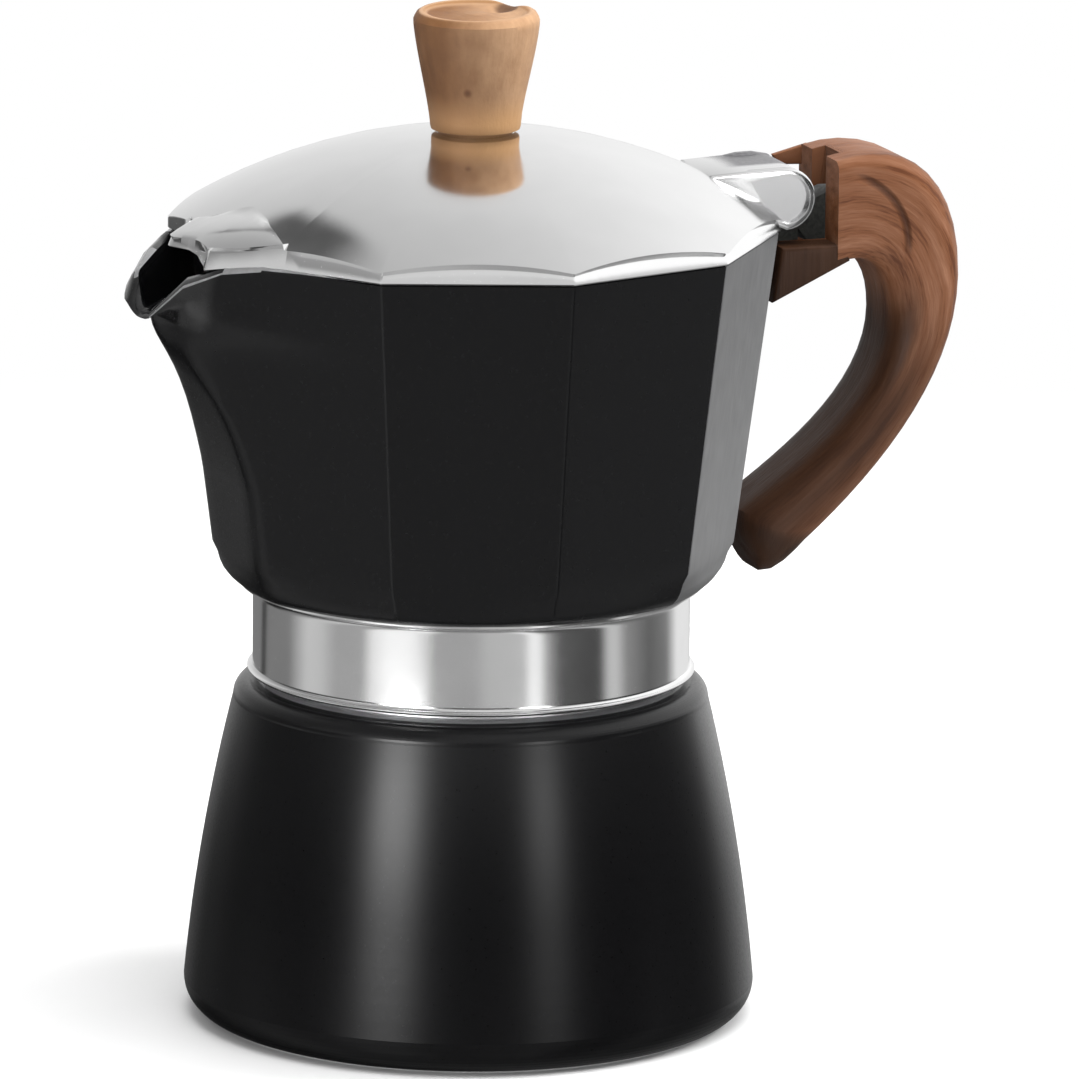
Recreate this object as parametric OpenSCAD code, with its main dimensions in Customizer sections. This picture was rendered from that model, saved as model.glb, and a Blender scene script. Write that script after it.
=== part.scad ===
// Moka pot for three cups: boiler with safety valve, funnel, seal, collector, hinged lid and handle.
// The origin is on the pot's axis, on the surface it stands on. +Z is up, +X points to the handle
// and -X to the spout.

/* [Boiler] */
// Radius at the foot, where the flank starts above the rounded edge
boiler_foot_r = 44.4; // [43:0.1:48]
// Radius at the shoulder, where the flank ends below the rounded edge
boiler_shoulder_r = 36.9; // [36:0.1:39]
// Height at which the flank ends
boiler_flank_z = 50.2; // [44:0.1:60]
// How far the flank bows out from a straight cone
boiler_bow = 0.85; // [0.3:0.05:2]
// Rounding of the edge at the foot
boiler_foot_round = 5.5; // [2:0.1:7]
// Rounding of the shoulder edge
boiler_shoulder_round = 2.7; // [1:0.1:3.5]
// Thickness of the flank
boiler_wall = 3; // [2:0.1:4]
// Thickness of the floor
boiler_floor = 3.5; // [2.5:0.1:5]
// Height of the neck above the shoulder
neck_h = 11.1; // [9:0.1:14]
// Outer radius of the neck, over its thread
neck_r = 32.2; // [31:0.1:33]
// Thickness of the neck
neck_wall = 3.7; // [3:0.1:5]

/* [Thread] */
// Distance from one thread groove to the next
thread_pitch = 2; // [1.5:0.1:2.5]
// Depth of the thread grooves
thread_depth = 0.6; // [0.3:0.05:0.8]
// Running gap between the neck and the collar
thread_gap = 0.3; // [0.2:0.05:0.4]

/* [Safety valve] */
// Height of the valve's axis
valve_z = 34; // [28:0.5:38]
// Radius of the flat boss that carries the valve
valve_boss_r = 7.6; // [7.2:0.1:9]
// How far the boss's face stands out of the flank at the valve's axis
valve_boss_out = 1.8; // [1.2:0.1:3]
// Length of the threaded bore through the boss
valve_bore_l = 7; // [5.5:0.1:9]
// Radius of the threaded bore
valve_bore_r = 4; // [3.8:0.1:4.6]
// Radius of the hexagon's corners
valve_hex_r = 6.9; // [6.5:0.1:7.1]
// Thickness of the hexagon
valve_hex_t = 3; // [2:0.1:4]
// Thickness of the sealing washer
valve_washer_t = 1; // [0.6:0.1:1.5]
// Radius of the spring chamber
valve_chamber_r = 2.6; // [2.3:0.1:2.8]
// Radius of the inlet hole
valve_inlet_r = 1.3; // [0.9:0.1:1.6]
// Radius of the stem's rod
valve_rod_r = 0.9; // [0.7:0.05:1.1]
// Thickness of the stem's head
valve_head_t = 1.4; // [1:0.1:2]
// How far the rod stands out of the valve
valve_rod_out = 1.6; // [1:0.1:2.5]
// Diameter of the spring's wire
valve_wire_d = 0.5; // [0.4:0.05:0.6]
// Turns of the spring
valve_turns = 5; // [4:1:7]

/* [Funnel] */
// Thickness of the funnel's metal
funnel_wall = 1; // [0.8:0.1:1.4]
// Depth of the coffee basket
basket_depth = 19; // [15:0.5:24]
// Gap between the basket and the neck
basket_gap = 0.4; // [0.3:0.05:0.6]
// How far the rim flange stays inside the neck's edge
flange_inset = 1; // [0.5:0.1:2]
// Height of the cone between basket and tube
funnel_cone_h = 6; // [4:0.5:8]
// Outer radius of the tube
tube_r = 4.5; // [4:0.1:5.5]
// Gap between the tube's end and the boiler's floor
tube_floor_gap = 5.5; // [4:0.5:8]
// Thickness of the basket's sieve
sieve_t = 0.8; // [0.6:0.1:1.2]
// Rings of holes in the sieve and the filter plate
sieve_rings = 5; // [3:1:5]
// Radius of the sieve's holes
sieve_hole_r = 0.8; // [0.5:0.1:0.9]

/* [Seal] */
// Thickness of the gasket
gasket_t = 3.5; // [3:0.1:4.5]
// Width of the gasket's outer ring
gasket_ring_w = 4.9; // [4:0.1:5.5]
// Width of the lip that holds the filter plate
gasket_lip_w = 2.7; // [2:0.1:3.5]
// Gap between the gasket and the collar
gasket_gap = 0.6; // [0.4:0.1:0.8]
// Thickness of the filter plate
filter_t = 0.8; // [0.6:0.1:1.2]
// Gap around the filter plate
filter_gap = 0.4; // [0.3:0.1:0.6]
// Radius of the filter plate's holes
filter_hole_r = 0.6; // [0.4:0.1:0.7]

/* [Collector] */
// Height of the collar below the collector's floor
collar_h = 14.1; // [12:0.1:15]
// Thickness of the collar at its waist
collar_wall = 1.8; // [1.6:0.1:2.6]
// How far the collar flares out at its ends
collar_flare = 1.4; // [0.6:0.1:1.8]
// Corner radius of the ten-sided body at its foot
body_base_r = 39.8; // [39.6:0.1:42]
// Corner radius of the ten-sided body at its rim
body_top_r = 46.9; // [45:0.1:49]
// Height of the body above the collar
body_h = 54.9; // [48:0.1:70]
// Rounding where the body turns in to the collar
body_foot_round = 5.4; // [4:0.1:6]
// Thickness of the body's walls
body_wall = 2.6; // [2:0.1:3.5]
// Thickness of the collector's floor
body_floor = 7.5; // [6.5:0.1:9]

/* [Column] */
// Radius of the column at its foot
column_foot_r = 7; // [6.6:0.1:8]
// Radius of the column at its top
column_top_r = 5; // [4.6:0.1:5.5]
// Thickness of the column's wall at its foot
column_wall = 2; // [1.2:0.1:2.4]
// How far the column's top stays below the rim
column_below_rim = 9; // [6:0.5:20]
// Width of the two ports under the column's cap
port_w = 4.4; // [3:0.1:5]
// Height of the two ports
port_h = 6; // [4:0.5:9]

/* [Spout] */
// How far the tip of the spout stands out from the body's face
spout_out = 11.1; // [9.5:0.1:12.5]
// Height of the tip's lowest point below the rim
spout_tip_drop = 9.8; // [8:0.1:12]
// How far the spout runs down the body
spout_drop = 36; // [28:0.5:42]
// Width of the pouring lip
lip_w = 8.4; // [7.5:0.1:10]
// Thickness of the spout's walls
spout_wall = 2; // [1.5:0.1:2.4]

/* [Lid] */
// How far the lid's corners stand out past the body's
lid_over = 0.35; // [0.1:0.05:1]
// Height of the crown above the rim
lid_rise = 15.7; // [13:0.1:18]
// Height of the edge band at the corners
lid_band = 1.8; // [1.2:0.1:3]
// Thickness of the lid
lid_wall = 1.3; // [1:0.1:1.8]
// Gap between the lid and the rim
lid_gap = 0.1; // [0.05:0.05:0.3]
// How far the lid's beak, which covers the spout, stands out from the body's face
beak_out = 5.3; // [4:0.1:6]
// Radius of the beak's round end
beak_nose_r = 5; // [4:0.1:6]
// Height of the beak's ridge above the lid's edge at its end
beak_rise = 1.4; // [0.8:0.1:2]

/* [Hinge] */
// Distance of the hinge pin's axis outside the body's rear face
pin_out = 3.8; // [3.7:0.1:4.6]
// Height of the hinge pin's axis above the rim
pin_up = 3.6; // [3.5:0.1:4.2]
// Radius of the hinge pin
pin_r = 1.4; // [1.1:0.05:1.6]
// Running gap of the lid on the pin
pin_gap = 0.05; // [0.03:0.01:0.1]
// Radius of the lid's hinge ears
ear_r = 4.9; // [4.5:0.1:5]
// Width over both ears
ears_w = 14.7; // [13:0.1:14.9]
// Thickness of the collector's hinge tongue
tongue_w = 6; // [5:0.1:7]
// Radius of the tongue's head around the pin
tongue_r = 3.2; // [2.8:0.1:3.3]
// Gap between the tongue and the ears
tongue_gap = 0.3; // [0.2:0.05:0.4]

/* [Handle] */
// Width of the handle
handle_w = 18; // [17.9:0.1:20]
// Height of the handle's top above the rim
handle_rise = 9.3; // [9:0.1:11]
// Distance from the body's rear face at the rim to the handle's outermost line
handle_reach = 33.3; // [32:0.1:38]
// Height of the handle's outermost point below the rim
grip_drop = 10; // [6:0.5:16]
// How far the handle's foot reaches below the rim
handle_drop = 55.2; // [50:0.1:56]
// Thickness of the grip at the outermost line
grip_t = 11.6; // [10:0.1:12.5]
// Distance from the hinge pin's axis to the fork's front
fork_out = 8; // [7.8:0.1:9.5]
// Gap between the handle and the body
handle_gap = 0.2; // [0.1:0.05:0.4]
// Gap between the handle's foot and the body
foot_gap = 3.6; // [1:0.1:5]
// Gap around the tang in the fork's slot
tang_gap = 0.15; // [0.1:0.05:0.3]
// Radius of the handle screw
screw_r = 2; // [1.6:0.1:2.3]
// Radius of the handle screw's head
screw_head_r = 3.4; // [3:0.1:3.8]
// Height of the handle screw's head
screw_head_h = 2.3; // [1.5:0.1:2.6]
// Thickness of the washer under the handle screw's head
screw_washer_t = 0.8; // [0.5:0.1:1]

/* [Knob] */
// Radius of the knob where it stands on the lid
knob_foot_r = 6.9; // [6.5:0.1:8]
// Largest radius of the knob
knob_r = 9.8; // [8:0.1:12]
// Height of the knob
knob_h = 18.8; // [14:0.1:24]
// Rounding of the knob's top edge
knob_round = 2; // [1:0.1:3]
// Depth of the hollow in the knob's top
knob_dish = 0.8; // [0.3:0.1:1.5]
// Radius of the knob screw
knob_screw_r = 2; // [1.5:0.1:2.5]
// Length of the knob screw inside the knob
knob_screw_l = 10; // [7:0.5:11]
// Radius of the knob screw's head
knob_screw_head_r = 3.6; // [3.2:0.1:4.5]
// Height of the knob screw's head
knob_screw_head_h = 2; // [1.5:0.1:2.5]
// Radius of the washer under the knob screw's head
knob_washer_r = 5; // [4.6:0.1:6]
// Thickness of the washer under the knob screw's head
knob_washer_t = 0.8; // [0.5:0.1:1.2]

/* [Hidden] */
$fn = 96;

// Heights, from the table up
shoulder_top_z = boiler_flank_z + boiler_shoulder_round;
neck_top_z = shoulder_top_z + neck_h;
flange_top_z = neck_top_z + funnel_wall;
under_z = flange_top_z + gasket_t;
collar_z = under_z - collar_h;
rim_z = under_z + body_h;
floor_z = under_z + body_floor;
lid_z = rim_z + lid_gap;
crown_z = rim_z + lid_rise;

// Radii around the neck
mouth_r = neck_r - neck_wall;
collar_in_r = neck_r + thread_gap;
waist_r = collar_in_r + collar_wall;
collar_r = waist_r + collar_flare;
basket_r = mouth_r - basket_gap;
gasket_r = collar_in_r - gasket_gap;
filter_seat_r = gasket_r - gasket_ring_w;
lip_r = filter_seat_r - gasket_lip_w;

// The ten-sided body: its corner radius and the distance of its flat faces at any height
side_cos = cos(18);
function body_r(z) = body_base_r + (body_top_r - body_base_r) * (z - under_z) / body_h;
function face_x(z) = side_cos * body_r(z);

// Hinge and handle
pin_x = face_x(rim_z) + pin_out;
pin_z = rim_z + pin_up;
spout_reach = face_x(rim_z) + spout_out;
beak_reach = face_x(rim_z) + beak_out;
fork_x = pin_x + fork_out;
grip_x = face_x(rim_z) + handle_reach;
grip_in_x = grip_x - grip_t;
grip_z = rim_z - grip_drop;
tang_x = fork_x + 4.4;
tang_z = rim_z - 0.6;
lid_open = 115;

// Points along an arc, along a cubic curve, and along a straight line that bows out to its left
function arc(c, r, a0, a1, n = 12) =
    [for (i = [0:n]) c + r * [cos(a0 + (a1 - a0) * i / n), sin(a0 + (a1 - a0) * i / n)]];
function curve(p, n = 12) = [for (i = [0:n]) let (t = i / n, s = 1 - t)
    s * s * s * p[0] + 3 * s * s * t * p[1] + 3 * s * t * t * p[2] + t * t * t * p[3]];
function bowed(a, b, bow, n = 16) =
    let (d = b - a, l = norm(d), r = (l * l / 4 + bow * bow) / (2 * bow), out = [d[1], -d[0]] / l)
    [for (i = [0:n]) let (u = l * (i / n - 0.5)) a + d * i / n + out * (sqrt(r * r - u * u) - r + bow)];

// Grooves of a thread, as points up a wall at radius r that dip by depth
function thread(r, z0, z1, depth) =
    let (n = floor((z1 - z0) / thread_pitch))
    [for (i = [0:n - 1]) for (p = [[0, 0.15], [depth, 0.5], [0, 0.85]])
        [r - p[0], z0 + (i + p[1]) * thread_pitch]];

// A solid along Y from the outline in X and Z, centred on Y = 0
module plate(w) {
    rotate([90, 0, 0]) linear_extrude(height = w, center = true) children();
}

// A round piece along Y that starts at y and runs l towards +Y
module rod(x, y, z, r, l) {
    translate([x, y, z]) rotate([-90, 0, 0]) cylinder(r = r, h = l);
}

// Two opposite faces of the ten-sided body, inset by wall, over the given heights
module face_pair(i, wall, z0, z1) {
    a0 = face_x(z0) - wall;
    a1 = face_x(z1) - wall;
    rotate([0, 0, 36 * i]) plate(4 * body_top_r) polygon([[-a0, z0], [a0, z0], [a1, z1], [-a1, z1]]);
}
module ten_sided(wall, z0, z1) {
    intersection() {
        face_pair(0, wall, z0, z1);
        face_pair(1, wall, z0, z1);
        face_pair(2, wall, z0, z1);
        face_pair(3, wall, z0, z1);
        face_pair(4, wall, z0, z1);
    }
}

// Turned aluminium boiler with a threaded neck and a flat boss for the safety valve
flank_foot = [boiler_foot_r, boiler_foot_round];
flank_top = [boiler_shoulder_r, boiler_flank_z];
flank = bowed(flank_foot, flank_top, boiler_bow);
function flank_r(z) = lookup(z, [for (p = flank) [p[1], p[0]]]);
valve_face_y = flank_r(valve_z) + valve_boss_out;
valve_in_y = valve_face_y - valve_bore_l;
module boiler() {
    neck_foot_z = shoulder_top_z + 0.6;
    inner_foot = [boiler_foot_r - boiler_wall, boiler_floor + boiler_foot_round];
    inner_top = [boiler_shoulder_r - boiler_wall, boiler_flank_z - 3];
    color("#1d1d1f") difference() {
        union() {
            rotate_extrude() polygon(concat(
                [[0, 0]],
                arc([boiler_foot_r - boiler_foot_round, boiler_foot_round], boiler_foot_round, -90, 0),
                flank,
                arc([boiler_shoulder_r - boiler_shoulder_round, boiler_flank_z],
                    boiler_shoulder_round, 0, 90),
                [[neck_r - thread_depth, neck_foot_z], [neck_r - thread_depth, neck_foot_z + 1],
                    [neck_r, neck_foot_z + 1.4]],
                thread(neck_r, neck_foot_z + 1.4, neck_top_z - 0.6, thread_depth),
                [[neck_r, neck_top_z - 0.6], [neck_r - 0.6, neck_top_z], [0, neck_top_z]]));
            rod(0, valve_in_y, valve_z, valve_boss_r, valve_bore_l);
        }
        difference() {
            rotate_extrude() polygon(concat(
                [[0, boiler_floor]],
                arc([inner_foot[0] - boiler_foot_round, inner_foot[1]], boiler_foot_round, -90, 0),
                bowed(inner_foot, inner_top, boiler_bow),
                [[mouth_r, shoulder_top_z - boiler_wall + 2], [mouth_r, neck_top_z + 1],
                    [0, neck_top_z + 1]]));
            rod(0, valve_in_y, valve_z, valve_boss_r, valve_bore_l);
        }
        rod(0, valve_in_y - 1, valve_z, valve_bore_r, valve_bore_l + 2);
    }
}

// Brass valve body, screwed through the boss: hexagon, round nose and hollow shank
valve_hex_y = valve_face_y + valve_washer_t;
valve_nose_l = 2;
valve_nose_y = valve_hex_y + valve_hex_t;
valve_out_y = valve_nose_y + valve_nose_l;
valve_seat_y = valve_in_y + 1;
valve_shank_y = valve_in_y - 1.5;
module valve_body() {
    nose_r = valve_hex_r * cos(30) - 0.4;
    color("goldenrod") difference() {
        union() {
            translate([0, valve_hex_y, valve_z]) rotate([-90, 0, 0])
                cylinder(r = valve_hex_r, h = valve_hex_t, $fn = 6);
            rod(0, valve_nose_y, valve_z, nose_r, valve_nose_l);
            rod(0, valve_shank_y, valve_z, valve_bore_r - 0.02, valve_hex_y - valve_shank_y);
        }
        rod(0, valve_shank_y - 1, valve_z, valve_inlet_r, valve_out_y - valve_shank_y);
        rod(0, valve_seat_y, valve_z, valve_chamber_r, valve_out_y - valve_seat_y + 1);
    }
}

// Fibre washer between the hexagon and the boss
module valve_washer() {
    color("firebrick") difference() {
        rod(0, valve_face_y, valve_z, valve_hex_r * cos(30) - 0.1, valve_washer_t);
        rod(0, valve_face_y - 1, valve_z, valve_bore_r + 0.1, valve_washer_t + 2);
    }
}

// Steel stem that closes the inlet, with its rod through the cap
valve_cap_t = 1.6;
valve_cap_y = valve_out_y - valve_cap_t;
module valve_stem() {
    color("silver") union() {
        rod(0, valve_seat_y, valve_z, valve_chamber_r - 0.3, valve_head_t);
        rod(0, valve_seat_y, valve_z, valve_rod_r, valve_out_y + valve_rod_out - valve_seat_y);
    }
}

// Wire spring between the stem's head and the cap: an eight-sided wire along a helix
module valve_spring() {
    wire_r = valve_wire_d / 2;
    coil_r = valve_chamber_r - 0.35 - wire_r;
    y0 = valve_seat_y + valve_head_t + wire_r + 0.02;
    y1 = valve_cap_y - wire_r - 0.02;
    steps = 14 * valve_turns;
    points = [for (i = [0:steps]) for (k = [0:5])
        let (a = 360 * valve_turns * i / steps, b = 60 * k, r = coil_r + wire_r * cos(b))
        [r * cos(a), y0 + (y1 - y0) * i / steps + wire_r * sin(b), valve_z + r * sin(a)]];
    sides = [for (i = [0:steps - 1]) for (k = [0:5]) let (m = (k + 1) % 6)
        [6 * i + k, 6 * i + m, 6 * i + 6 + m, 6 * i + 6 + k]];
    ends = [[for (k = [5:-1:0]) k], [for (k = [0:5]) 6 * steps + k]];
    color("silver") polyhedron(points, concat(sides, ends));
}

// Brass cap pressed into the valve's mouth, which guides the stem and carries the spring
module valve_cap() {
    color("goldenrod") difference() {
        rod(0, valve_cap_y, valve_z, valve_chamber_r - 0.02, valve_cap_t);
        rod(0, valve_cap_y - 1, valve_z, valve_rod_r + 0.08, valve_cap_t + 2);
    }
}

// Spun aluminium funnel: basket with a rim flange, cone and dip tube
basket_in_r = basket_r - funnel_wall;
basket_floor_z = neck_top_z - basket_depth;
cone_z = basket_floor_z - funnel_cone_h;
tube_z = boiler_floor + tube_floor_gap;
module funnel() {
    flange_r = neck_r - flange_inset;
    ledge = 2;
    color("gainsboro") rotate_extrude() polygon([
        [tube_r - funnel_wall, tube_z], [tube_r, tube_z], [tube_r, cone_z],
        [basket_r, basket_floor_z - funnel_wall], [basket_r, neck_top_z], [flange_r, neck_top_z],
        [flange_r, flange_top_z], [basket_in_r, flange_top_z], [basket_in_r, basket_floor_z],
        [basket_in_r - ledge, basket_floor_z], [tube_r - funnel_wall, cone_z]]);
}

// Rings of round punched holes about the Z axis, the outermost inside radius r
module punched(r, hole_r, z, h) {
    pitch = r / (sieve_rings + 0.4);
    for (ring = [1:sieve_rings], i = [0:6 * ring - 1])
        rotate([0, 0, 60 * i / ring]) translate([ring * pitch, 0, z])
            cylinder(r = hole_r, h = h, $fn = 8);
}

// Perforated steel disc pressed into the basket, on the ledge above the cone
module funnel_sieve() {
    color("silver") difference() {
        translate([0, 0, basket_floor_z]) cylinder(r = basket_in_r - 0.02, h = sieve_t);
        punched(basket_in_r - 2.5, sieve_hole_r, basket_floor_z - 1, sieve_t + 2);
    }
}

// Rubber gasket: an outer ring and a lower lip under the filter plate's edge
module gasket() {
    color("white") rotate_extrude() polygon([
        [lip_r, flange_top_z], [gasket_r, flange_top_z], [gasket_r, under_z],
        [filter_seat_r, under_z], [filter_seat_r, under_z - filter_t],
        [lip_r, under_z - filter_t]]);
}

// Perforated aluminium plate above the coffee
module filter_plate() {
    color("gainsboro") difference() {
        translate([0, 0, under_z - filter_t]) cylinder(r = filter_seat_r - filter_gap, h = filter_t);
        punched(lip_r - 1, filter_hole_r, under_z - filter_t - 1, filter_t + 2);
    }
}

// Cast collector: threaded collar, ten-sided body, spout, hinge tongue and handle tang
spigot_r = column_foot_r - 1;
collector_well_z = floor_z - body_floor / 3;
spout_tip_z = rim_z - spout_tip_drop;
spout_root_z = rim_z - spout_drop;
inner_x = 0.64 * body_top_r;
// Underside of the spout in X and Z, a hollow curve from the body to the lip, shifted in by d
function spout_under(d) =
    let (root_x = d - face_x(spout_root_z), tip_x = d - spout_reach)
    concat(
        [[-inner_x, spout_root_z - 12], [root_x + 1.5, spout_root_z - 3]],
        curve([[root_x, spout_root_z], [root_x - 3.6, spout_root_z + 14.2],
            [tip_x + 10.2, spout_tip_z - 9.8], [tip_x + 1.6, spout_tip_z + 0.3]]));
module spout() {
    tip_x = -spout_reach;
    side = concat(spout_under(0),
        arc([tip_x + 1.7, spout_tip_z + 1.9], 1.7, 260, 180, 6),
        curve([[tip_x, spout_tip_z + 2.4], [tip_x + 0.4, spout_tip_z + 5],
            [tip_x + 3, rim_z - 2.6], [tip_x + 8, rim_z - 1.2]], 8),
        [[tip_x + 10, rim_z], [-inner_x, rim_z]]);
    intersection() {
        face_pair(1, 0, under_z, rim_z);
        face_pair(4, 0, under_z, rim_z);
        plate(2 * body_top_r) polygon(side);
    }
    intersection() {
        plate(lip_w) polygon(side);
        translate([0, 0, rim_z - 20]) linear_extrude(height = 21) union() {
            translate([lip_w / 2 - spout_reach, 0]) circle(r = lip_w / 2);
            translate([lip_w / 2 - spout_reach, -lip_w / 2]) square([20, lip_w]);
        }
    }
}
module spout_channel() {
    tip_x = spout_wall - spout_reach;
    side = concat(spout_under(spout_wall),
        [[tip_x - 0.5, spout_tip_z + 2], [tip_x - 4, spout_tip_z + 2.4],
            [tip_x - 4, rim_z + 2], [-inner_x, rim_z + 2]]);
    intersection() {
        face_pair(1, spout_wall, under_z, rim_z + 3);
        face_pair(4, spout_wall, under_z, rim_z + 3);
        plate(2 * body_top_r) polygon(side);
    }
    intersection() {
        plate(lip_w - 2 * spout_wall) polygon(side);
        translate([-1.1 * spout_reach, -lip_w, rim_z - 2 * spout_tip_drop])
            cube([1.1 * spout_reach - inner_x, 2 * lip_w, 2 * spout_tip_drop + body_wall]);
    }
}
module collector() {
    chamber_top_z = rim_z + 2;
    bowl_c = [collar_r + 0.3, under_z + body_foot_round];
    color("#161616") difference() {
        union() {
            intersection() {
                ten_sided(0, under_z, rim_z);
                rotate_extrude() polygon(concat(
                    [[0, under_z]], arc(bowl_c, body_foot_round, -90, 0),
                    [[2 * body_top_r, bowl_c[1] + 2], [2 * body_top_r, rim_z + 1], [0, rim_z + 1]]));
            }
            rotate_extrude() polygon(concat(
                [[0, collar_z], [collar_r, collar_z]],
                curve([[collar_r, collar_z + 0.5], [waist_r + 0.1, collar_z + 1.7],
                    [waist_r, collar_z + 2.8], [waist_r, collar_z + 4.4]], 10),
                curve([[waist_r, under_z - 4.2], [waist_r, under_z - 2.8],
                    [waist_r + 0.1, under_z - 1.6], [collar_r + 0.3, under_z]], 10),
                [[collar_r - 2, under_z + 2], [0, under_z + 2]]));
            spout();
            plate(tongue_w) bracket();
        }
        ten_sided(body_wall, floor_z, chamber_top_z);
        spout_channel();
        rotate_extrude() polygon(concat(
            [[0, collar_z - 1], [collar_in_r + 0.6, collar_z - 1], [collar_in_r + 0.6, collar_z],
                [collar_in_r, collar_z + 0.6]],
            thread(collar_in_r, collar_z + 0.6, neck_top_z - 1, -thread_depth),
            [[collar_in_r, under_z], [0, under_z]]));
        translate([0, 0, under_z])
            cylinder(r1 = lip_r - 0.4, r2 = column_foot_r + 1, h = collector_well_z - under_z);
        translate([0, 0, under_z]) cylinder(r = spigot_r, h = body_floor + 1);
        rod(pin_x, -tongue_w, pin_z, pin_r, 2 * tongue_w);
        rod(tang_x, -tongue_w, tang_z, screw_r + 0.1, 2 * tongue_w);
    }
}

// Outline of the tongue that carries the pin and of the tang that carries the handle
module bracket() {
    stem_x = pin_x - tongue_r + 0.4;
    foot_x = face_x(rim_z - 13) - 1;
    union() {
        translate([pin_x, pin_z]) circle(r = tongue_r);
        polygon([[foot_x, rim_z - 13.5], [fork_x, rim_z - 5.2], [tang_x + 3.6, rim_z - 5.2],
            [tang_x + 3.6, tang_z + 4.4], [tang_x - 3.6, tang_z + 4.4], [tang_x - 3.6, rim_z - 1.4],
            [fork_x - 3, rim_z - 4], [pin_x + 3.7, rim_z - 4], [pin_x + 3.7, rim_z - 2.2],
            [pin_x + 1.5, rim_z - 1.4], [pin_x + 1.5, pin_z], [stem_x, pin_z],
            [stem_x, rim_z - 0.3], [foot_x, rim_z - 0.3]]);
    }
}

// Tube that carries the coffee up, rolled into the collector's floor, with two ports under its cap
column_top_z = rim_z - column_below_rim;
module column() {
    bore_foot_r = spigot_r - column_wall;
    bore_top_r = column_top_r - 1.4;
    flange_r = column_foot_r + 1.5;
    rolled_z = collector_well_z - 1.2;
    color("gainsboro") difference() {
        union() {
            rotate_extrude() polygon(concat(
                [[0, rolled_z], [spigot_r + 0.9, rolled_z], [spigot_r + 0.9, collector_well_z],
                    [spigot_r, collector_well_z], [spigot_r, floor_z], [flange_r, floor_z],
                    [flange_r, floor_z + 1], [column_foot_r, floor_z + 2.5]],
                arc([column_top_r - 2, column_top_z - 2], 2, 10, 90, 6),
                [[0, column_top_z]]));
        }
        translate([0, 0, rolled_z - 1])
            cylinder(r1 = bore_foot_r, r2 = bore_top_r, h = column_top_z - 1.5 - rolled_z);
        for (side = [0, 180]) rotate([0, 0, side])
            translate([0, -port_w / 2, column_top_z - 2.5 - port_h])
                cube([2 * column_top_r, port_w, port_h]);
    }
}

// Solid form of the lid from height z0 up: ten-sided dome, drawn out over the spout, inset by d
edge_z = lid_z + lid_band;
lid_r = body_top_r + lid_over;
dome_h = crown_z - edge_z;
dome_r = (dome_h * dome_h + lid_r * lid_r) / (2 * dome_h);
function dome_z(x) = crown_z - dome_r + sqrt(dome_r * dome_r - x * x);
module dome(r) {
    reach = asin(1.3 * lid_r / dome_r);
    rotate_extrude() polygon(concat(
        [[0, lid_z - 2], [r * sin(reach), lid_z - 2]],
        arc([0, crown_z - dome_r], r, 90 - reach, 90, 24)));
}
module lid_form(d, z0) {
    face_r = side_cos * lid_r - d;
    face_w = face_r * tan(18);
    tip_x = beak_reach - d;
    root_x = 0.72 * lid_r;
    ridge_x = 0.868 * lid_r;
    intersection() {
        translate([0, 0, z0]) linear_extrude(height = lid_rise + 2)
            rotate(18) circle(r = face_r / side_cos, $fn = 10);
        dome(dome_r - d);
    }
    intersection() {
        translate([0, 0, z0]) linear_extrude(height = lid_rise + 2) polygon(concat(
            [[-root_x, -face_w], [-root_x, face_w], [-face_r, face_w]],
            arc([beak_nose_r - beak_reach, 0], beak_nose_r - d, 115, 245),
            [[-face_r, -face_w]]));
        plate(2 * lid_r) polygon([[-tip_x, z0 - 1], [-tip_x, edge_z + beak_rise - d],
            [-tip_x + 3.5, edge_z + beak_rise + 1.6 - d], [-ridge_x, dome_z(ridge_x) + 0.4 - d],
            [-root_x, dome_z(root_x) - 0.2 - d], [-root_x, z0 - 1]]);
    }
}

// Cast lid: domed shell with a flat land for the knob and two hinge ears
land_z = crown_z + 0.2;
module lid() {
    ear_y = ears_w / 2;
    slot_w = tongue_w + 2 * tongue_gap;
    slot_r = tongue_r + 0.4;
    slot_reach = 2.6 * ear_r;
    swing = [cos(lid_open - 90), sin(lid_open - 90)];
    lug_x = 0.76 * lid_r;
    lug_z = dome_z(lug_x);
    color("gainsboro") difference() {
        union() {
            difference() {
                lid_form(0, lid_z);
                lid_form(lid_wall, lid_z - 1);
            }
            translate([0, 0, land_z - lid_wall - 0.4])
                cylinder(r = knob_foot_r + 0.6, h = lid_wall + 0.4);
            plate(ears_w) union() {
                translate([pin_x, pin_z]) circle(r = ear_r);
                polygon([[pin_x, pin_z + ear_r], [lug_x, lug_z], [lug_x, lug_z - lid_wall],
                    [face_x(rim_z) - lid_wall, lid_z + 3], [face_x(rim_z) - lid_wall, lid_z],
                    [face_x(rim_z) + 0.3, lid_z], [pin_x, pin_z - ear_r]]);
            }
            // Raised far edge of the lug
            translate([0, ear_y - 2.8, 0]) plate(2) polygon([[lug_x + 6, lug_z - 1],
                [lug_x + 7, pin_z + ear_r + 0.2], [pin_x - 3, pin_z + ear_r + 0.4],
                [pin_x + 1, pin_z + ear_r - 0.3], [pin_x + 1, pin_z + 2]]);
        }
        // Slot for the tongue over the lid's whole swing
        plate(slot_w) union() {
            translate([pin_x, pin_z]) circle(r = slot_r);
            translate([pin_x, pin_z]) polygon([[-slot_r, 0], [-slot_r, -slot_reach],
                [slot_reach, -slot_reach],
                0.55 * slot_r * [-swing[1], swing[0]] + slot_reach * swing,
                0.55 * slot_r * [-swing[1], swing[0]]]);
        }
        rod(pin_x, -ear_y + 1.2, pin_z, pin_r + pin_gap, ears_w);
        translate([0, 0, crown_z - 4]) cylinder(r = knob_screw_r + 0.2, h = 6);
    }
}

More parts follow.
